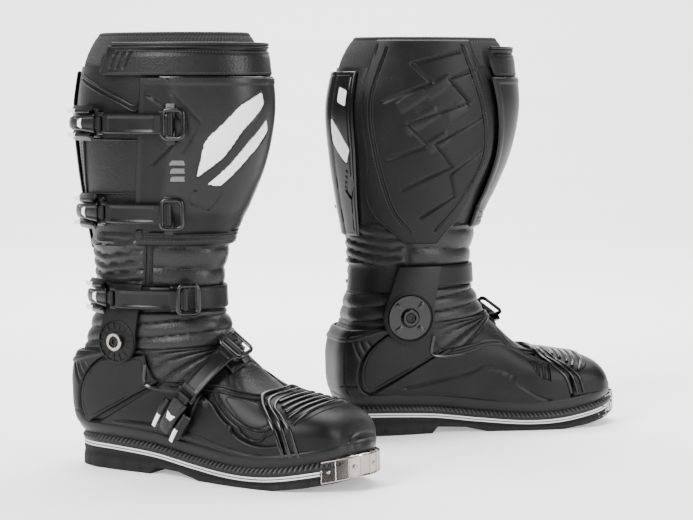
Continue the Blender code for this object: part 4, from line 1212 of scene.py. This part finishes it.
# %% The pivots
CAP_LOW, CAP_HIGH = ARM_HIGH + 0.0004, ARM_HIGH + 0.0055
for name, turn, look in (("outer_pivot", 90, "steel"), ("inner_pivot", -90, "gloss_plastic")):
    ring_body = bmesh.new()
    turned(ring_body, ((0.0052, CAP_LOW), (0.0052, CAP_HIGH - 0.0006), (0.0058, CAP_HIGH),
                       (0.0080, CAP_HIGH),
                       (0.0088, CAP_HIGH - 0.0008), (0.0088, CAP_LOW), (0.0060, CAP_LOW), (0.0060, 0.0448),
                       (0, 0.0448)), ankle_frame(turn), 48)
    fit(f"{name}_ring", ring_body, look, "feet", "steel", stands_for=(name,))
    bolt = bmesh.new()
    turned(bolt, ((0, CAP_LOW), (0.0050, CAP_LOW), (0.0050, CAP_HIGH - 0.0020), (0.0044, CAP_HIGH - 0.0013),
                  (0.0027, CAP_HIGH - 0.0013)), ankle_frame(turn), 32)
    slab(bolt, circle(0.0029, 6), CAP_HIGH - 0.0034, CAP_HIGH - 0.0024, ankle_frame(turn), 0.0002)
    fit(f"{name}_bolt", bolt, "buckle_plastic", "feet", "steel")


# %% The yoke round the instep, with the ankle buckle's patch
def yoke_relief(spots):
    seam = curve_through([(96, 0.171), (60, 0.171)], 20)
    return rolled_edge(spots, 0.0024, 0.0014) + groove(spots.near(seam), 0.0016, 0.0004)


panel("ankle_yoke", on_shaft, ((0.160, 97, -97), (0.182, 97, -97)), (150, 16), 0.0060, yoke_relief, 0.0026,
      "matt_plastic", "shaft", "moulded_plastic", stands_for=("ankle_frame",))

# %% [markdown]
# ## The leather shaft
#
# The shaft is a tube of leather from the ankle to below the knee. It bends above the ankle, so bolsters run
# across the front there and narrower glossy ribs behind, with a stitched seam between them. Higher up, most
# of it is covered; what shows between the straps is a panel framed by piping.

# %% The shaft's leather
SHAFT_TOP = 0.392
SEAM = curve_through([(80, 0.3640), (78, 0.3135), (75.5, 0.2660), (72, 0.2275), (72.5, 0.1840)], 60)
BOLSTER_LOW, BOLSTER_HIGH = 0.1815, 0.2225


def leather_shaft(angle, share, out=0.0):
    low = shaft_low_edge(np.asarray(angle, float))
    return on_shaft(angle, low + (SHAFT_TOP - low) * share, out)


def to_share(path):
    """An (angle, height) path as (angle, share of the shaft's height)."""
    low = shaft_low_edge(path[:, 0])
    return np.column_stack([path[:, 0], (path[:, 1] - low) / (SHAFT_TOP - low)])


SEAM_SHARES = to_share(SEAM)


def shaft_relief(spots):
    height = spots.point[:, 2]
    around = np.where(spots.angle > 180, spots.angle - 360, spots.angle)
    in_zone = soft((height - BOLSTER_LOW) / 0.002) * soft((BOLSTER_HIGH + 0.004 - height) / 0.002)
    front = soft((73 - around) / 3) * soft((around + 104) / 6)
    phase = (height - BOLSTER_LOW + 0.004 * np.cos(np.radians(around))) / (BOLSTER_HIGH - BOLSTER_LOW)
    bolsters = 0.0030 * pillow(phase * 2, 0.55) * front
    back = soft((around - 76) / 4) + soft((-104 - around) / 6)
    slanted = height - 0.00016 * np.abs(np.abs(around) - 120)
    ribs = 0.0026 * pillow((slanted - BOLSTER_LOW) / 0.0098, 0.7) * np.clip(back, 0, 1)
    panel = np.array([(83, 0.3215), (84, 0.2735), (140, 0.2700), (134, 0.3215)])
    framed = 0.0012 * soft(spots.inside(panel) / 0.004)
    return (bolsters + ribs) * in_zone + framed + groove(spots.near(SEAM_SHARES), 0.0018, 0.0009)


panel("shaft_leather", leather_shaft, ((0, 180, -180), (1, 180, -180)), (180, 112), 0.0, shaft_relief,
      0.0028, "leather", "shaft", "leather", closed=True, stands_for=("shaft_upper",))

# %% [markdown]
# ## The knitted gaiter
#
# A ribbed knit closes the boot round the leg. The ribs are real: the grid has five columns to each rib, and
# each rib is a half round. The rim rolls over to the inside, as a knitted edge does, and the ribs lean a
# little because the knit is pulled round as it is sewn on.

# %% The gaiter
GAITER_TOP, RIBS = 0.425, 132
GAITER_LOW, GAITER_HIGH = SHAFT_TOP - 0.004, GAITER_TOP - 0.003


def on_gaiter(angle, share, out=0.0):
    return on_shaft(angle, GAITER_LOW + (GAITER_HIGH - GAITER_LOW) * share,
                    -0.0032 - 0.0085 * share**2 + out)


def knit_relief(spots):
    rib = pillow((spots.angle + 14 * spots.level) * RIBS / 360, 0.8)
    return 0.0015 * rib - 0.0010 * soft((spots.level - 0.9) / 0.1)


panel("knit_gaiter", on_gaiter, ((0, 180, -180), (1, 180, -180)), (RIBS * 5, 14), 0.0, knit_relief, 0.0045,
      "knit", "shaft", "knit", closed=True, stands_for=("gaiter",))

rim = bmesh.new()
turns = np.linspace(-180, 180, RIBS * 4, endpoint=False)
swell = 0.0030 + 0.0004 * pillow(turns * RIBS / 360, 0.8)
top_line = on_shaft(turns, GAITER_TOP - 0.0040, -0.0140)
roll(rim, top_line, swell, 10, closed=True)
fit("gaiter_rim", rim, "knit", "shaft", "knit")

# %% [markdown]
# ## The shin plate
#
# The shin plate is the largest moulding: smooth, with a raised frame, a chevron groove where two levels
# meet, three small mesh vents, and pale blades let into it. The blades are plain slanted bars of this
# boot's own. Each lies in a recess of its own outline, because an inlay that only sat on top would look
# like a sticker.

# %% The shin plate
BLADES = (
    np.array([(49, 0.2860), (47, 0.3230), (26, 0.3560), (6, 0.3690), (4, 0.3560), (22, 0.3320),
              (33, 0.3060)]),
    np.array([(41, 0.2810), (29, 0.2990), (17, 0.3210), (0, 0.3430), (-4, 0.3310), (14, 0.3050),
              (30, 0.2790)]),
)
VENTS = [np.array([(65.5 - k, low), (65 - k, low + 0.0050), (57 - k, low + 0.0050), (56.5 - k, low)])
         for k, low in ((0, 0.2990), (0.8, 0.2915), (1.6, 0.2840))]


def rounded(outline, cuts=6, tension=0.16):
    """An outline with its corners cut round, each as a short arc."""
    points = []
    for before, corner, after in zip(np.roll(outline, 1, 0), outline, np.roll(outline, -1, 0)):
        start, end = corner + (before - corner) * tension, corner + (after - corner) * tension
        for t in np.linspace(0, 1, cuts):
            points.append((1 - t) ** 2 * start + 2 * t * (1 - t) * corner + t**2 * end)
    return np.array(points)


BLADE_OUTLINES = [rounded(blade) for blade in BLADES]
CHEVRON = straight_through([(79, 0.3650), (70, 0.3550), (58, 0.3370), (66, 0.3160), (76, 0.2990)])
CHEVRON_INNER = straight_through([(66, 0.3680), (50, 0.3400), (58, 0.3120)])
LOWER_LIP = curve_through([(84, 0.2370), (50, 0.2350), (10, 0.2350), (-30, 0.2380), (-44, 0.2440)], 50)


def shin_relief(spots):
    blades = np.max([spots.inside(outline) for outline in BLADE_OUTLINES], axis=0)
    vents = np.max([spots.inside(vent) for vent in VENTS], axis=0)
    pocket = spots.near(rounded(np.array([(49, 0.2760), (49, 0.2640), (33, 0.2560), (27, 0.2740)])))
    frame_line = soft((0.0075 - spots.border) / 0.0015)
    keel = 0.0016 * soft((70 - spots.angle) / 6) * soft((spots.level - 0.246) / 0.012)
    return (rolled_edge(spots, 0.0022, 0.0018) + 0.0008 * frame_line + keel
            + groove(spots.near(CHEVRON), 0.0036, 0.0018)
            + groove(spots.near(CHEVRON_INNER), 0.0026, 0.0012)
            - raised(blades - 0.0002, 0.0006, 0.0011) - raised(vents, 0.0008, 0.0014)
            + groove(pocket, 0.0022, 0.0010) + groove(spots.near(LOWER_LIP), 0.0030, 0.0015))


panel("shin_shell", on_shaft, ((0.222, 84, -44), (0.300, 86, -46), (0.382, 84, -58)), (140, 124), PLATE_OUT
      + 0.0006, shin_relief, 0.0030, "matt_plastic", "shaft", "moulded_plastic", stands_for=("shin_plate",))


# %% The inlays: pale blades and mesh vents
INLAY_GAP, INLAY_DOME, INLAY_CELLS = 0.0001, 0.0006, 70


def rows_round(outline):
    """The two rows of the smallest grid that covers an outline."""
    low, high = outline.min(axis=0), outline.max(axis=0)
    return (low[1], high[0], low[0]), (high[1], high[0], low[0])


def inlay(name, surface, outline, out, look, slot):
    """A thin plate of an outline's shape, laid on a form and slightly domed."""
    body = bmesh.new()
    spots = lay_grid(body, surface, rows_round(outline), INLAY_CELLS, INLAY_CELLS, out,
                     lambda spots: INLAY_DOME * soft(spots.inside(outline) / 0.004))
    depths = spots.inside(outline)
    gone = [vertex for vertex, depth in zip(list(body.verts), depths) if depth < INLAY_GAP]
    bmesh.ops.delete(body, geom=gone, context="VERTS")
    fit(name, thicken(to_mesh(body, name), 0.0012), look, "shaft", slot)


for number, outline in enumerate(BLADE_OUTLINES):
    inlay(f"shin_blade_{number + 1}", on_shaft, outline, PLATE_OUT + 0.0016, "pale", "moulded_plastic")
vent_mesh = bmesh.new()
for vent in VENTS:
    lay_grid(vent_mesh, on_shaft, rows_round(vent), 36, 20, PLATE_OUT + 0.0012,
             lambda spots: 0.0005 * pillow(spots.angle * 3.2, 1) * pillow(spots.level * 1300, 1))
fit("vent_mesh", thicken(to_mesh(vent_mesh, "vent_mesh"), 0.0004), "mesh", "shaft", "knit")


# %% [markdown]
# ## Calf plate and calf guard
#
# The calf plate guards the back, with a slot, a pale blade and a dark vent. The inner calf guard is the
# broad soft rubber face that rubs on the machine. Its moulded zig-zag bars give grip, and its border is
# sewn down twice.

# %% The calf plate
CALF_SLOT = rounded(np.array([(196, 0.3720), (196, 0.3560), (205, 0.3510), (205, 0.3680)]))
CALF_BLADE = rounded(np.array([(188, 0.3400), (188, 0.3130), (204, 0.2900), (208, 0.3060), (198, 0.3270)]))
CALF_VENT = rounded(np.array([(203, 0.2860), (199, 0.2620), (206, 0.2520), (209, 0.2700)]))


def calf_relief(spots):
    cuts = np.max([spots.inside(outline) for outline in (CALF_SLOT, CALF_BLADE, CALF_VENT)], axis=0)
    spine = bead(np.abs(spots.angle - 180) * 0.0013, 0.020, 0.0020)
    return (rolled_edge(spots, 0.0022, 0.0016) - raised(cuts, 0.0008, 0.0016) + spine
            + groove(np.abs(spots.border - 0.0050), 0.0014, 0.0006))


panel("calf_shell", on_shaft, ((0.214, 208, 160), (0.300, 212, 158), (0.388, 210, 158)), (70, 150),
      PLATE_OUT, calf_relief, 0.0028, "gloss_plastic", "shaft", "moulded_plastic",
      stands_for=("calf_plate",))
inlay("calf_blade", on_shaft, CALF_BLADE, PLATE_OUT + 0.0004, "pale", "moulded_plastic")
inlay("calf_slot", on_shaft, CALF_SLOT, PLATE_OUT + 0.0002, "pale", "moulded_plastic")

# %% The inner calf guard
ZIGZAG = [
    straight_through([(-82, 0.4080), (-112, 0.3960), (-98, 0.3760), (-127, 0.3560)]),
    straight_through([(-70, 0.3900), (-88, 0.3800), (-74, 0.3560), (-112, 0.3330), (-98, 0.3100),
                      (-124, 0.2960)]),
    straight_through([(-62, 0.3420), (-94, 0.3120), (-80, 0.2880), (-112, 0.2640)]),
    straight_through([(-60, 0.3040), (-80, 0.2800), (-72, 0.2560), (-96, 0.2340)]),
]
BAR_PLACES = ((-84, 0.3760, 15), (-100, 0.3620, 15), (-74, 0.3500, 12), (-92, 0.3420, 18),
              (-84, 0.3160, 12))
BARS = [rounded(np.array([(a, z), (a - w, z - 0.0012 * w), (a - w - 4, z + 0.010 - 0.0012 * w),
                          (a - 4, z + 0.010)]))
        for a, z, w in BAR_PLACES]
GUARD_BORDERS = (
    curve_through([(-129, 0.4120), (-135, 0.3600), (-131, 0.3000), (-119, 0.2450), (-104, 0.2200)], 60),
    curve_through([(-80, 0.4150), (-67, 0.3600), (-58, 0.3000), (-66, 0.2500), (-82, 0.2200)], 60),
)


def calf_guard_relief(spots):
    bars = np.max([spots.inside(bar) for bar in BARS], axis=0)
    return (rolled_edge(spots, 0.0024, 0.0018) + groove(spots.near(*ZIGZAG), 0.0044, 0.0018)
            + raised(bars, 0.0024, 0.0012) + groove(spots.near(*GUARD_BORDERS), 0.0032, 0.0014)
            + groove(np.abs(spots.border - 0.0035), 0.0012, 0.0005))


panel("calf_guard_shell", on_shaft,
      ((0.206, -78, -108), (0.245, -57, -138), (0.300, -50, -140), (0.360, -60, -143), (0.421, -74, -138)),
      (110, 165), PLATE_OUT, calf_guard_relief, 0.0028, "soft_rubber", "shaft", "soft_rubber",
      stands_for=("inner_calf_guard",))

guard_lines = bmesh.new()
for path in ZIGZAG:
    roll(guard_lines, on_shaft(path[:, 0], path[:, 1], PLATE_OUT - 0.0018), 0.0008, 8)
fit("calf_guard_lines", guard_lines, "matt_plastic", "shaft", "soft_rubber")


# %% [markdown]
# ## The collar flap
#
# The flap closes the top of the boot over the shin. It is a padded leather band with two rows of piping
# along its top, a slanted end with pressed grooves, and a glossy strip under it at the front.

# %% The collar flap
FLAP_ROWS = ((0.383, 110, -54), (0.398, 112, -58), (0.413, 104, -58))
FLAP_LINES = [straight_through([(100 - k, 0.4060), (104 - k, 0.3900)]) for k in (0, 5, 10)]


def flap_relief(spots):
    top = curve_through([(100, 0.4085), (50, 0.4078), (0, 0.4070), (-55, 0.4070)], 60)
    return (rolled_edge(spots, 0.0020, 0.0018) + groove(spots.near(top), 0.0020, 0.0010)
            + groove(spots.near(*FLAP_LINES), 0.0034, 0.0016)
            + 0.0010 * soft((0.4050 - spots.level) / 0.004))


panel("flap_leather", on_shaft, FLAP_ROWS, (190, 30), PLATE_OUT, flap_relief, 0.0028, "leather",
      "collar_flap", "leather", stands_for=("collar_flap",))

flap_trim, flap_thread = bmesh.new(), bmesh.new()
for height, radius in ((0.4128, 0.0016), (0.4100, 0.0011)):
    line_points = on_shaft(np.linspace(104, -57, 90), height, PLATE_OUT + 0.0002)
    roll(flap_trim, line_points, radius, 8)
roll(flap_trim, on_shaft(np.linspace(106, 111, 14), np.linspace(0.4110, 0.3860, 14), PLATE_OUT + 0.0002),
     0.0013, 8)
fit("flap_piping", flap_trim, "leather", "collar_flap", "leather")
sew(flap_thread, on_shaft, curve_through([(98, 0.4066), (50, 0.4052), (0, 0.4046), (-52, 0.4046)], 60),
    PLATE_OUT + 0.0011)
sew(flap_thread, on_shaft, curve_through([(105, 0.3860), (50, 0.3858), (0, 0.3858), (-50, 0.3858)], 60),
    PLATE_OUT + 0.0012)
fit("flap_stitching", flap_thread, "thread", "collar_flap", "leather")

# %% Piping and stitching on the shaft
shaft_trim, shaft_thread = bmesh.new(), bmesh.new()
for path in double_row(SEAM, 0.0052):
    sew(shaft_thread, on_shaft, path, 0.0006)
roll(shaft_trim, on_shaft(SEAM[:, 0] + 5.5, SEAM[:, 1], 0.0004), 0.0013, 8)
REAR_FRAME = straight_through([(84, 0.3225), (85, 0.2725), (140, 0.2690), (134, 0.3225), (84, 0.3225)])
COLLAR_CURVE = curve_through([(140, 0.3790), (118, 0.3690), (100, 0.3580), (88, 0.3500), (82, 0.3620)], 50)
for path in (REAR_FRAME, COLLAR_CURVE, COLLAR_CURVE + np.array([0, 0.0050])):
    roll(shaft_trim, on_shaft(path[:, 0], path[:, 1], 0.0004), 0.0013, 8)
sew(shaft_thread, on_shaft, REAR_FRAME, 0.0030, pitch=0.0034)
for number in range(3):
    height = BOLSTER_LOW + number * (BOLSTER_HIGH - BOLSTER_LOW) / 2
    turns = np.linspace(68, -66, 60)
    heights = height - 0.004 * np.cos(np.radians(turns))
    sew(shaft_thread, on_shaft, np.column_stack([turns, heights]), 0.0004, pitch=0.0036, width=0.0011)
for border_line in GUARD_BORDERS:
    for path in double_row(border_line, 0.0050):
        sew(shaft_thread, on_shaft, path, PLATE_OUT + 0.0003)
    roll(shaft_trim, on_shaft(border_line[:, 0], border_line[:, 1], PLATE_OUT - 0.0004), 0.0011, 8)
for shift in (0.0, 0.0045):
    turns = np.linspace(80, -40, 60)
    sew(shaft_thread, on_shaft, np.column_stack([turns, np.full(60, 0.2268 + shift)]), PLATE_OUT + 0.0014)
fit("shaft_piping", shaft_trim, "leather", "shaft", "leather")
fit("shaft_stitching", shaft_thread, "thread", "shaft", "leather")

panel("collar_gloss", on_shaft, ((0.3730, 66, -30), (0.3790, 70, -40), (0.3830, 74, -50)), (110, 10),
      PLATE_OUT + 0.0022, plain_edge(0.0030, 0.0020), 0.0020, "gloss_plastic", "shaft", "moulded_plastic")

# %% [markdown]
# ## The buckles
#
# Four straps close each boot. A strap hangs on a pin at the front, runs round the boot, and ends in a fork
# that holds the lever. The lever snaps down between the rails of a base at the back.
#
# A strap lies on a circle through three points of the boot: its front pin, its middle and the lever's tip.
# So one more form is enough: `along_ring` takes a share of the way along the strap for the angle and a
# distance across it for the level. Straps, levers and rails are then sheets like every other panel.

# %% The ring that a strap follows
# The strap's thickness and half its width.
STRAP_THICKNESS, STRAP_HALF = 0.0030, 0.0090
# Three guides as (angle, level, out), the lever pin's share of the way, and the pads of the catch and the
# anchor as
# (first angle, last angle, low level, high level, distance out).
BUCKLES = {
    "top": ("shaft", on_shaft, ((66, 0.338, 0.0093), (100, 0.338, 0.0098), (136, 0.338, 0.0093)), 0.60,
            (112, 140, 0.3240, 0.3520, 0.0060), (74, 58, 0.3240, 0.3520, 0.0060)),
    "middle": ("shaft", on_shaft, ((61, 0.253, 0.0098), (101, 0.253, 0.0112), (142, 0.253, 0.0098)), 0.58,
               (112, 146, 0.2390, 0.2670, 0.0056), (70, 52, 0.2390, 0.2670, 0.0056)),
    "ankle": ("shaft", on_shaft, ((44, 0.171, 0.0112), (88, 0.171, 0.0135), (134, 0.171, 0.0105)), 0.64,
              (101, 137, 0.1580, 0.1840, 0.0068), (56, 32, 0.1580, 0.1840, 0.0084)),
    "instep": ("feet", on_foot, ((18, 6.85, 0.0120), (60, 6.70, 0.0118), (103, 6.75, 0.0108)), 0.60,
               (78, 107, 6.25, 7.25, 0.0072), (33, 3, 5.70, 8.00, 0.0056)),
}


class Ring:
    """A circle through three points, in a frame whose X points to the first and whose Z crosses the strap."""

    def __init__(self, first, second, third):
        a, b = second - first, third - first
        normal = np.cross(a, b)
        to_centre = np.cross(normal, a) * (b @ b) + np.cross(b, normal) * (a @ a)
        self.centre = first + to_centre / (2 * normal @ normal)
        self.radius = np.linalg.norm(first - self.centre)
        self.x = (first - self.centre) / self.radius
        self.z = normal / np.linalg.norm(normal)
        self.y = np.cross(self.z, self.x)
        self.end = math.atan2((third - self.centre) @ self.y, (third - self.centre) @ self.x)

    def along_ring(self, metres, across, out=0.0):
        """Points by distance along the ring from the front pin, distance across it, and height above it."""
        metres, across, out = np.broadcast_arrays(np.asarray(metres, float), across, out)
        turn = metres / self.radius
        reach = (self.radius + out)[..., None]
        return (self.centre + reach * (np.cos(turn)[..., None] * self.x + np.sin(turn)[..., None] * self.y)
                + across[..., None] * self.z)

    def frame_at(self, metres, out=0.0):
        """A frame on the ring: X along the strap, Y across it and Z out of the boot."""
        turn = metres / self.radius
        outward = math.cos(turn) * self.x + math.sin(turn) * self.y
        forward = -math.sin(turn) * self.x + math.cos(turn) * self.y
        place = Matrix([forward, np.cross(outward, forward), outward]).transposed().to_4x4()
        place.translation = self.centre + (self.radius + out) * outward
        return place


def bar(body, ring, start, end, half_width, low, high, columns=40, steps=16, relief=None, shift=0.0):
    """A bar along the ring with rounded edges. Half width may be a function of the way along it."""
    width_of = half_width if callable(half_width) else (lambda metres: half_width + 0 * metres)

    def form(metres, share, out=0.0):
        return ring.along_ring(metres, shift + share * width_of(metres), out)

    def shape(spots):
        return rolled_edge(spots, 0.0012, 0.0009) + (relief(spots) if relief else 0)

    add_sheet(body, form, ((-1, start, end), (1, start, end)), columns, steps, high, shape, high - low)


def loop_corners(metres, half_along, half_across, radius, count=6):
    """A rounded rectangle as distances along the ring and across it."""
    points = []
    for sx, sy, start in ((1, 1, 0), (-1, 1, 90), (-1, -1, 180), (1, -1, 270)):
        for t in np.radians(start + np.linspace(0, 90, count)):
            points.append((metres + sx * (half_along - radius) + radius * math.cos(t),
                           sy * (half_across - radius) + radius * math.sin(t)))
    return np.array(points)


# %% [markdown]
# A strap is smooth outside, with raised edges round a sunk middle; its teeth are underneath. The lever is
# wide and domed, narrows to its tip, and carries a plain pale wedge. The catch is a base with a rail on
# each side, and each rail ends in a pale tip; the anchor is a padded patch with a loop frame that the strap
# passes through.

# %% The strap and the lever
PIN_RADIUS, EYE_RADIUS, RAIL_MIDDLE = 0.0014, 0.0029, 0.0115


def pin(body, ring, metres, places, radius, sides):
    """A round bar across the strap, through the given places."""
    roll(body, [ring.along_ring(metres, across, STRAP_THICKNESS / 2) for across in places], radius, sides)


def make_strap(ring, pin_at):
    def face(spots):
        way = spots.angle / pin_at
        across = soft((0.74 - np.abs(spots.level)) / 0.08)
        return -0.0007 * (soft((way - 0.18) / 0.04) * soft((0.86 - way) / 0.04) * across)

    strap = bmesh.new()
    bar(strap, ring, 0.0055, pin_at - 0.0052, STRAP_HALF, 0.0, STRAP_THICKNESS + 0.0004, 70, 20, face)
    for side in (-1, 1):
        bar(strap, ring, pin_at - 0.0058, pin_at + 0.0016, 0.0019, 0.0002, 0.0030, 12, 6,
            shift=side * 0.0086)
    pin(strap, ring, 0.0, (-0.0102, -0.004, 0.004, 0.0102), EYE_RADIUS, 14)
    bar(strap, ring, 0.0, 0.0062, 0.0102, 0.0004, 0.0029, 8, 12)
    pin(strap, ring, pin_at, (-0.0094, -0.004, 0.004, 0.0094), PIN_RADIUS, 12)
    return strap


def make_lever(ring, pin_at, start, end):
    def taper(metres):
        way = np.clip((metres - start) / (end - start), 0, 1)
        return 0.0086 - 0.0016 * soft(way / 0.5) - 0.0016 * soft((way - 0.75) / 0.25)

    def face(spots):
        way = (spots.angle - start) / (end - start)
        crown = 0.0010 * (1 - spots.level**2) - 0.0012 * soft((way - 0.8) / 0.2)
        return crown + 0.0006 * soft((np.abs(spots.level) - 0.55) / 0.15) * soft((0.72 - way) / 0.1)

    lever = bmesh.new()
    bar(lever, ring, start, end, taper, -0.0006, 0.0042, 70, 22, face)
    bar(lever, ring, pin_at + 0.0002, pin_at + 0.0075, 0.0060, 0.0002, 0.0034, 12, 10)
    pin(lever, ring, pin_at, (-0.0061, 0, 0.0061), EYE_RADIUS, 14)
    return lever


# %% The catch and the anchor
def make_pad(surface, pad, drop, steps, edge, wall):
    """A cushion on the boot's surface, from a (first angle, last angle, low level, high level, out) entry."""
    first, last, low, high, out = pad
    body = bmesh.new()
    add_sheet(body, surface, ((low, first, last), (high, first, last)), 50, steps, out - drop, edge, wall)
    return body


def rails(body, ring, start, end, half_width, low, high, columns, shift=RAIL_MIDDLE):
    """The same bar on both sides of the strap."""
    for side in (-1, 1):
        bar(body, ring, start, end, half_width, low, high, columns, 8, shift=side * shift)


def make_catch(ring, surface, pad, pin_at, length):
    catch = make_pad(surface, pad, 0.0, 30, plain_edge(0.0030, 0.0026), 0.0040)
    rails(catch, ring, pin_at + 0.0125, length + 0.0010, 0.0019, -0.0040, 0.0046, 30)
    return catch


def make_tips(ring, length):
    tips = bmesh.new()
    rails(tips, ring, length - 0.0150, length + 0.0016, 0.0021, 0.0024, 0.0052, 20)
    return tips


def make_anchor(ring, surface, pad):
    anchor = make_pad(surface, pad, 0.0006, 34, plain_edge(0.0034, 0.0028), 0.0034)
    rails(anchor, ring, -0.0058, 0.0058, 0.0012, -0.0048, 0.0044, 14, 0.0123)
    pin(anchor, ring, 0.0, (-0.0120, 0, 0.0120), PIN_RADIUS, 12)
    return anchor


# %% Make the four buckles
WEDGE = ((-0.0040, -0.0050), (0.0034, -0.0028), (0.0034, 0.0028), (-0.0040, 0.0050), (-0.0022, 0.0))
# Catches and anchors with a plain solid of their own in the frame. The others share a plate's solid.
OWN_NODES = {"top_catch", "middle_catch", "instep_anchor"}
for name, (body, surface, guides, share, catch_pad, anchor_pad) in BUCKLES.items():
    ring = Ring(*(surface(*guide) for guide in guides))
    length = ring.end * ring.radius
    pin_at = length * share
    lever_start = pin_at + 0.0050
    marks, loop = bmesh.new(), bmesh.new()
    slab(marks, WEDGE, 0.0, 0.0007, ring.frame_at((lever_start + length) / 2 - 0.002, 0.0052), 0.0002)
    corners = loop_corners(-0.0030, 0.0096, 0.0134, 0.0046)
    roll(loop, ring.along_ring(corners[:, 0], corners[:, 1], 0.0030), 0.0022, 10, flat=0.8, closed=True)
    for part, source, look, carrier, stands_for in (
        ("strap_band", make_strap(ring, pin_at), "buckle_plastic", f"{name}_strap", f"{name}_strap"),
        ("lever_arm", make_lever(ring, pin_at, lever_start, length), "buckle_plastic", f"{name}_lever",
         f"{name}_lever"),
        ("lever_marks", marks, "pale", f"{name}_lever", None),
        ("catch_base", make_catch(ring, surface, catch_pad, pin_at, length), "buckle_plastic", body,
         f"{name}_catch"),
        ("catch_tips", make_tips(ring, length), "pale", body, None),
        ("anchor_patch", make_anchor(ring, surface, anchor_pad), "buckle_plastic", body, f"{name}_anchor"),
        ("loop", loop, "gloss_plastic", body, None),
    ):
        moving = carrier != body
        covers = (stands_for,) if stands_for and (moving or stands_for in OWN_NODES) else ()
        fit(f"{name}_{part}", source, look, carrier, "buckle_plastic", stands_for=covers)

# %% [markdown]
# ## Floor, light and camera
#
# Black on white is hard: the shape of a black boot shows only in what it reflects. A broad soft light from
# the left front lays a long highlight on the curves, a weaker one from the right opens the shadows, and a
# high one behind rims the tops. The floor sweeps up behind the boots as one pale sheet with a light of its
# own, so that the world can stay dim: black leather mirrors whatever is round it, and a bright world would
# turn it grey.

# %% The studio
pale_floor = bpy.data.materials.new("pale_floor")
pale_floor.use_nodes = True
floor_shader = pale_floor.node_tree.nodes["Principled BSDF"]
floor_shader.inputs["Base Color"].default_value = (0.95, 0.95, 0.95, 1)
floor_shader.inputs["Emission Color"].default_value = (1, 1, 1, 1)
floor_shader.inputs["Emission Strength"].default_value = 0.42
floor_shader.inputs["Roughness"].default_value = 0.7
SWEEP_START, SWEEP_RADIUS = 2.6, 1.4
floor_body = bmesh.new()
bmesh.ops.create_grid(floor_body, x_segments=2, y_segments=60, size=6)
for vertex in floor_body.verts:
    past = vertex.co.y - SWEEP_START
    if past > 0:
        turn = min(past / SWEEP_RADIUS, math.pi / 2)
        climb = max(past - SWEEP_RADIUS * math.pi / 2, 0)
        vertex.co.y = SWEEP_START + SWEEP_RADIUS * math.sin(turn)
        vertex.co.z = SWEEP_RADIUS * (1 - math.cos(turn)) + climb
floor = bpy.data.objects.new("floor", to_mesh(floor_body, "floor"))
floor.data.materials.append(pale_floor)
bpy.context.scene.collection.objects.link(floor)

world = bpy.data.worlds.new("studio")
world.use_nodes = True
world.node_tree.nodes["Background"].inputs["Color"].default_value = (1, 1, 1, 1)
world.node_tree.nodes["Background"].inputs["Strength"].default_value = 0.14
bpy.context.scene.world = world


def soft_light(name, place, aim, size, power):
    data = bpy.data.lights.new(name, "AREA")
    data.shape = "RECTANGLE"
    data.size, data.size_y, data.energy = size[0], size[1], power
    light = bpy.data.objects.new(name, data)
    light.location = place
    light.rotation_euler = (Vector(aim) - Vector(place)).to_track_quat("-Z", "Y").to_euler()
    bpy.context.scene.collection.objects.link(light)


soft_light("key", (-1.5, -1.6, 1.7), (0, 0, 0.2), (0.8, 1.8), 120)
soft_light("fill", (1.8, -1.3, 1.0), (0, 0, 0.2), (0.7, 1.6), 56)
soft_light("backdrop", (0, 1.4, 2.6), (0, 4.0, 0.8), (3.0, 1.2), 220)
soft_light("top", (0.1, 0.8, 2.0), (0, 0, 0.2), (2.4, 1.4), 100)

camera = bpy.data.objects.new("camera", bpy.data.cameras.new("camera"))
camera.data.lens, camera.data.sensor_width = 105.97, 36
camera.location = (-0.01328, -2.07794, 0.38)
camera.rotation_euler = (math.radians(84.93), 0, 0)
bpy.context.scene.collection.objects.link(camera)
bpy.context.scene.camera = camera
print(len(fitted), "kinds of piece,", 2 * sum(count for _, count in fitted), "faces")
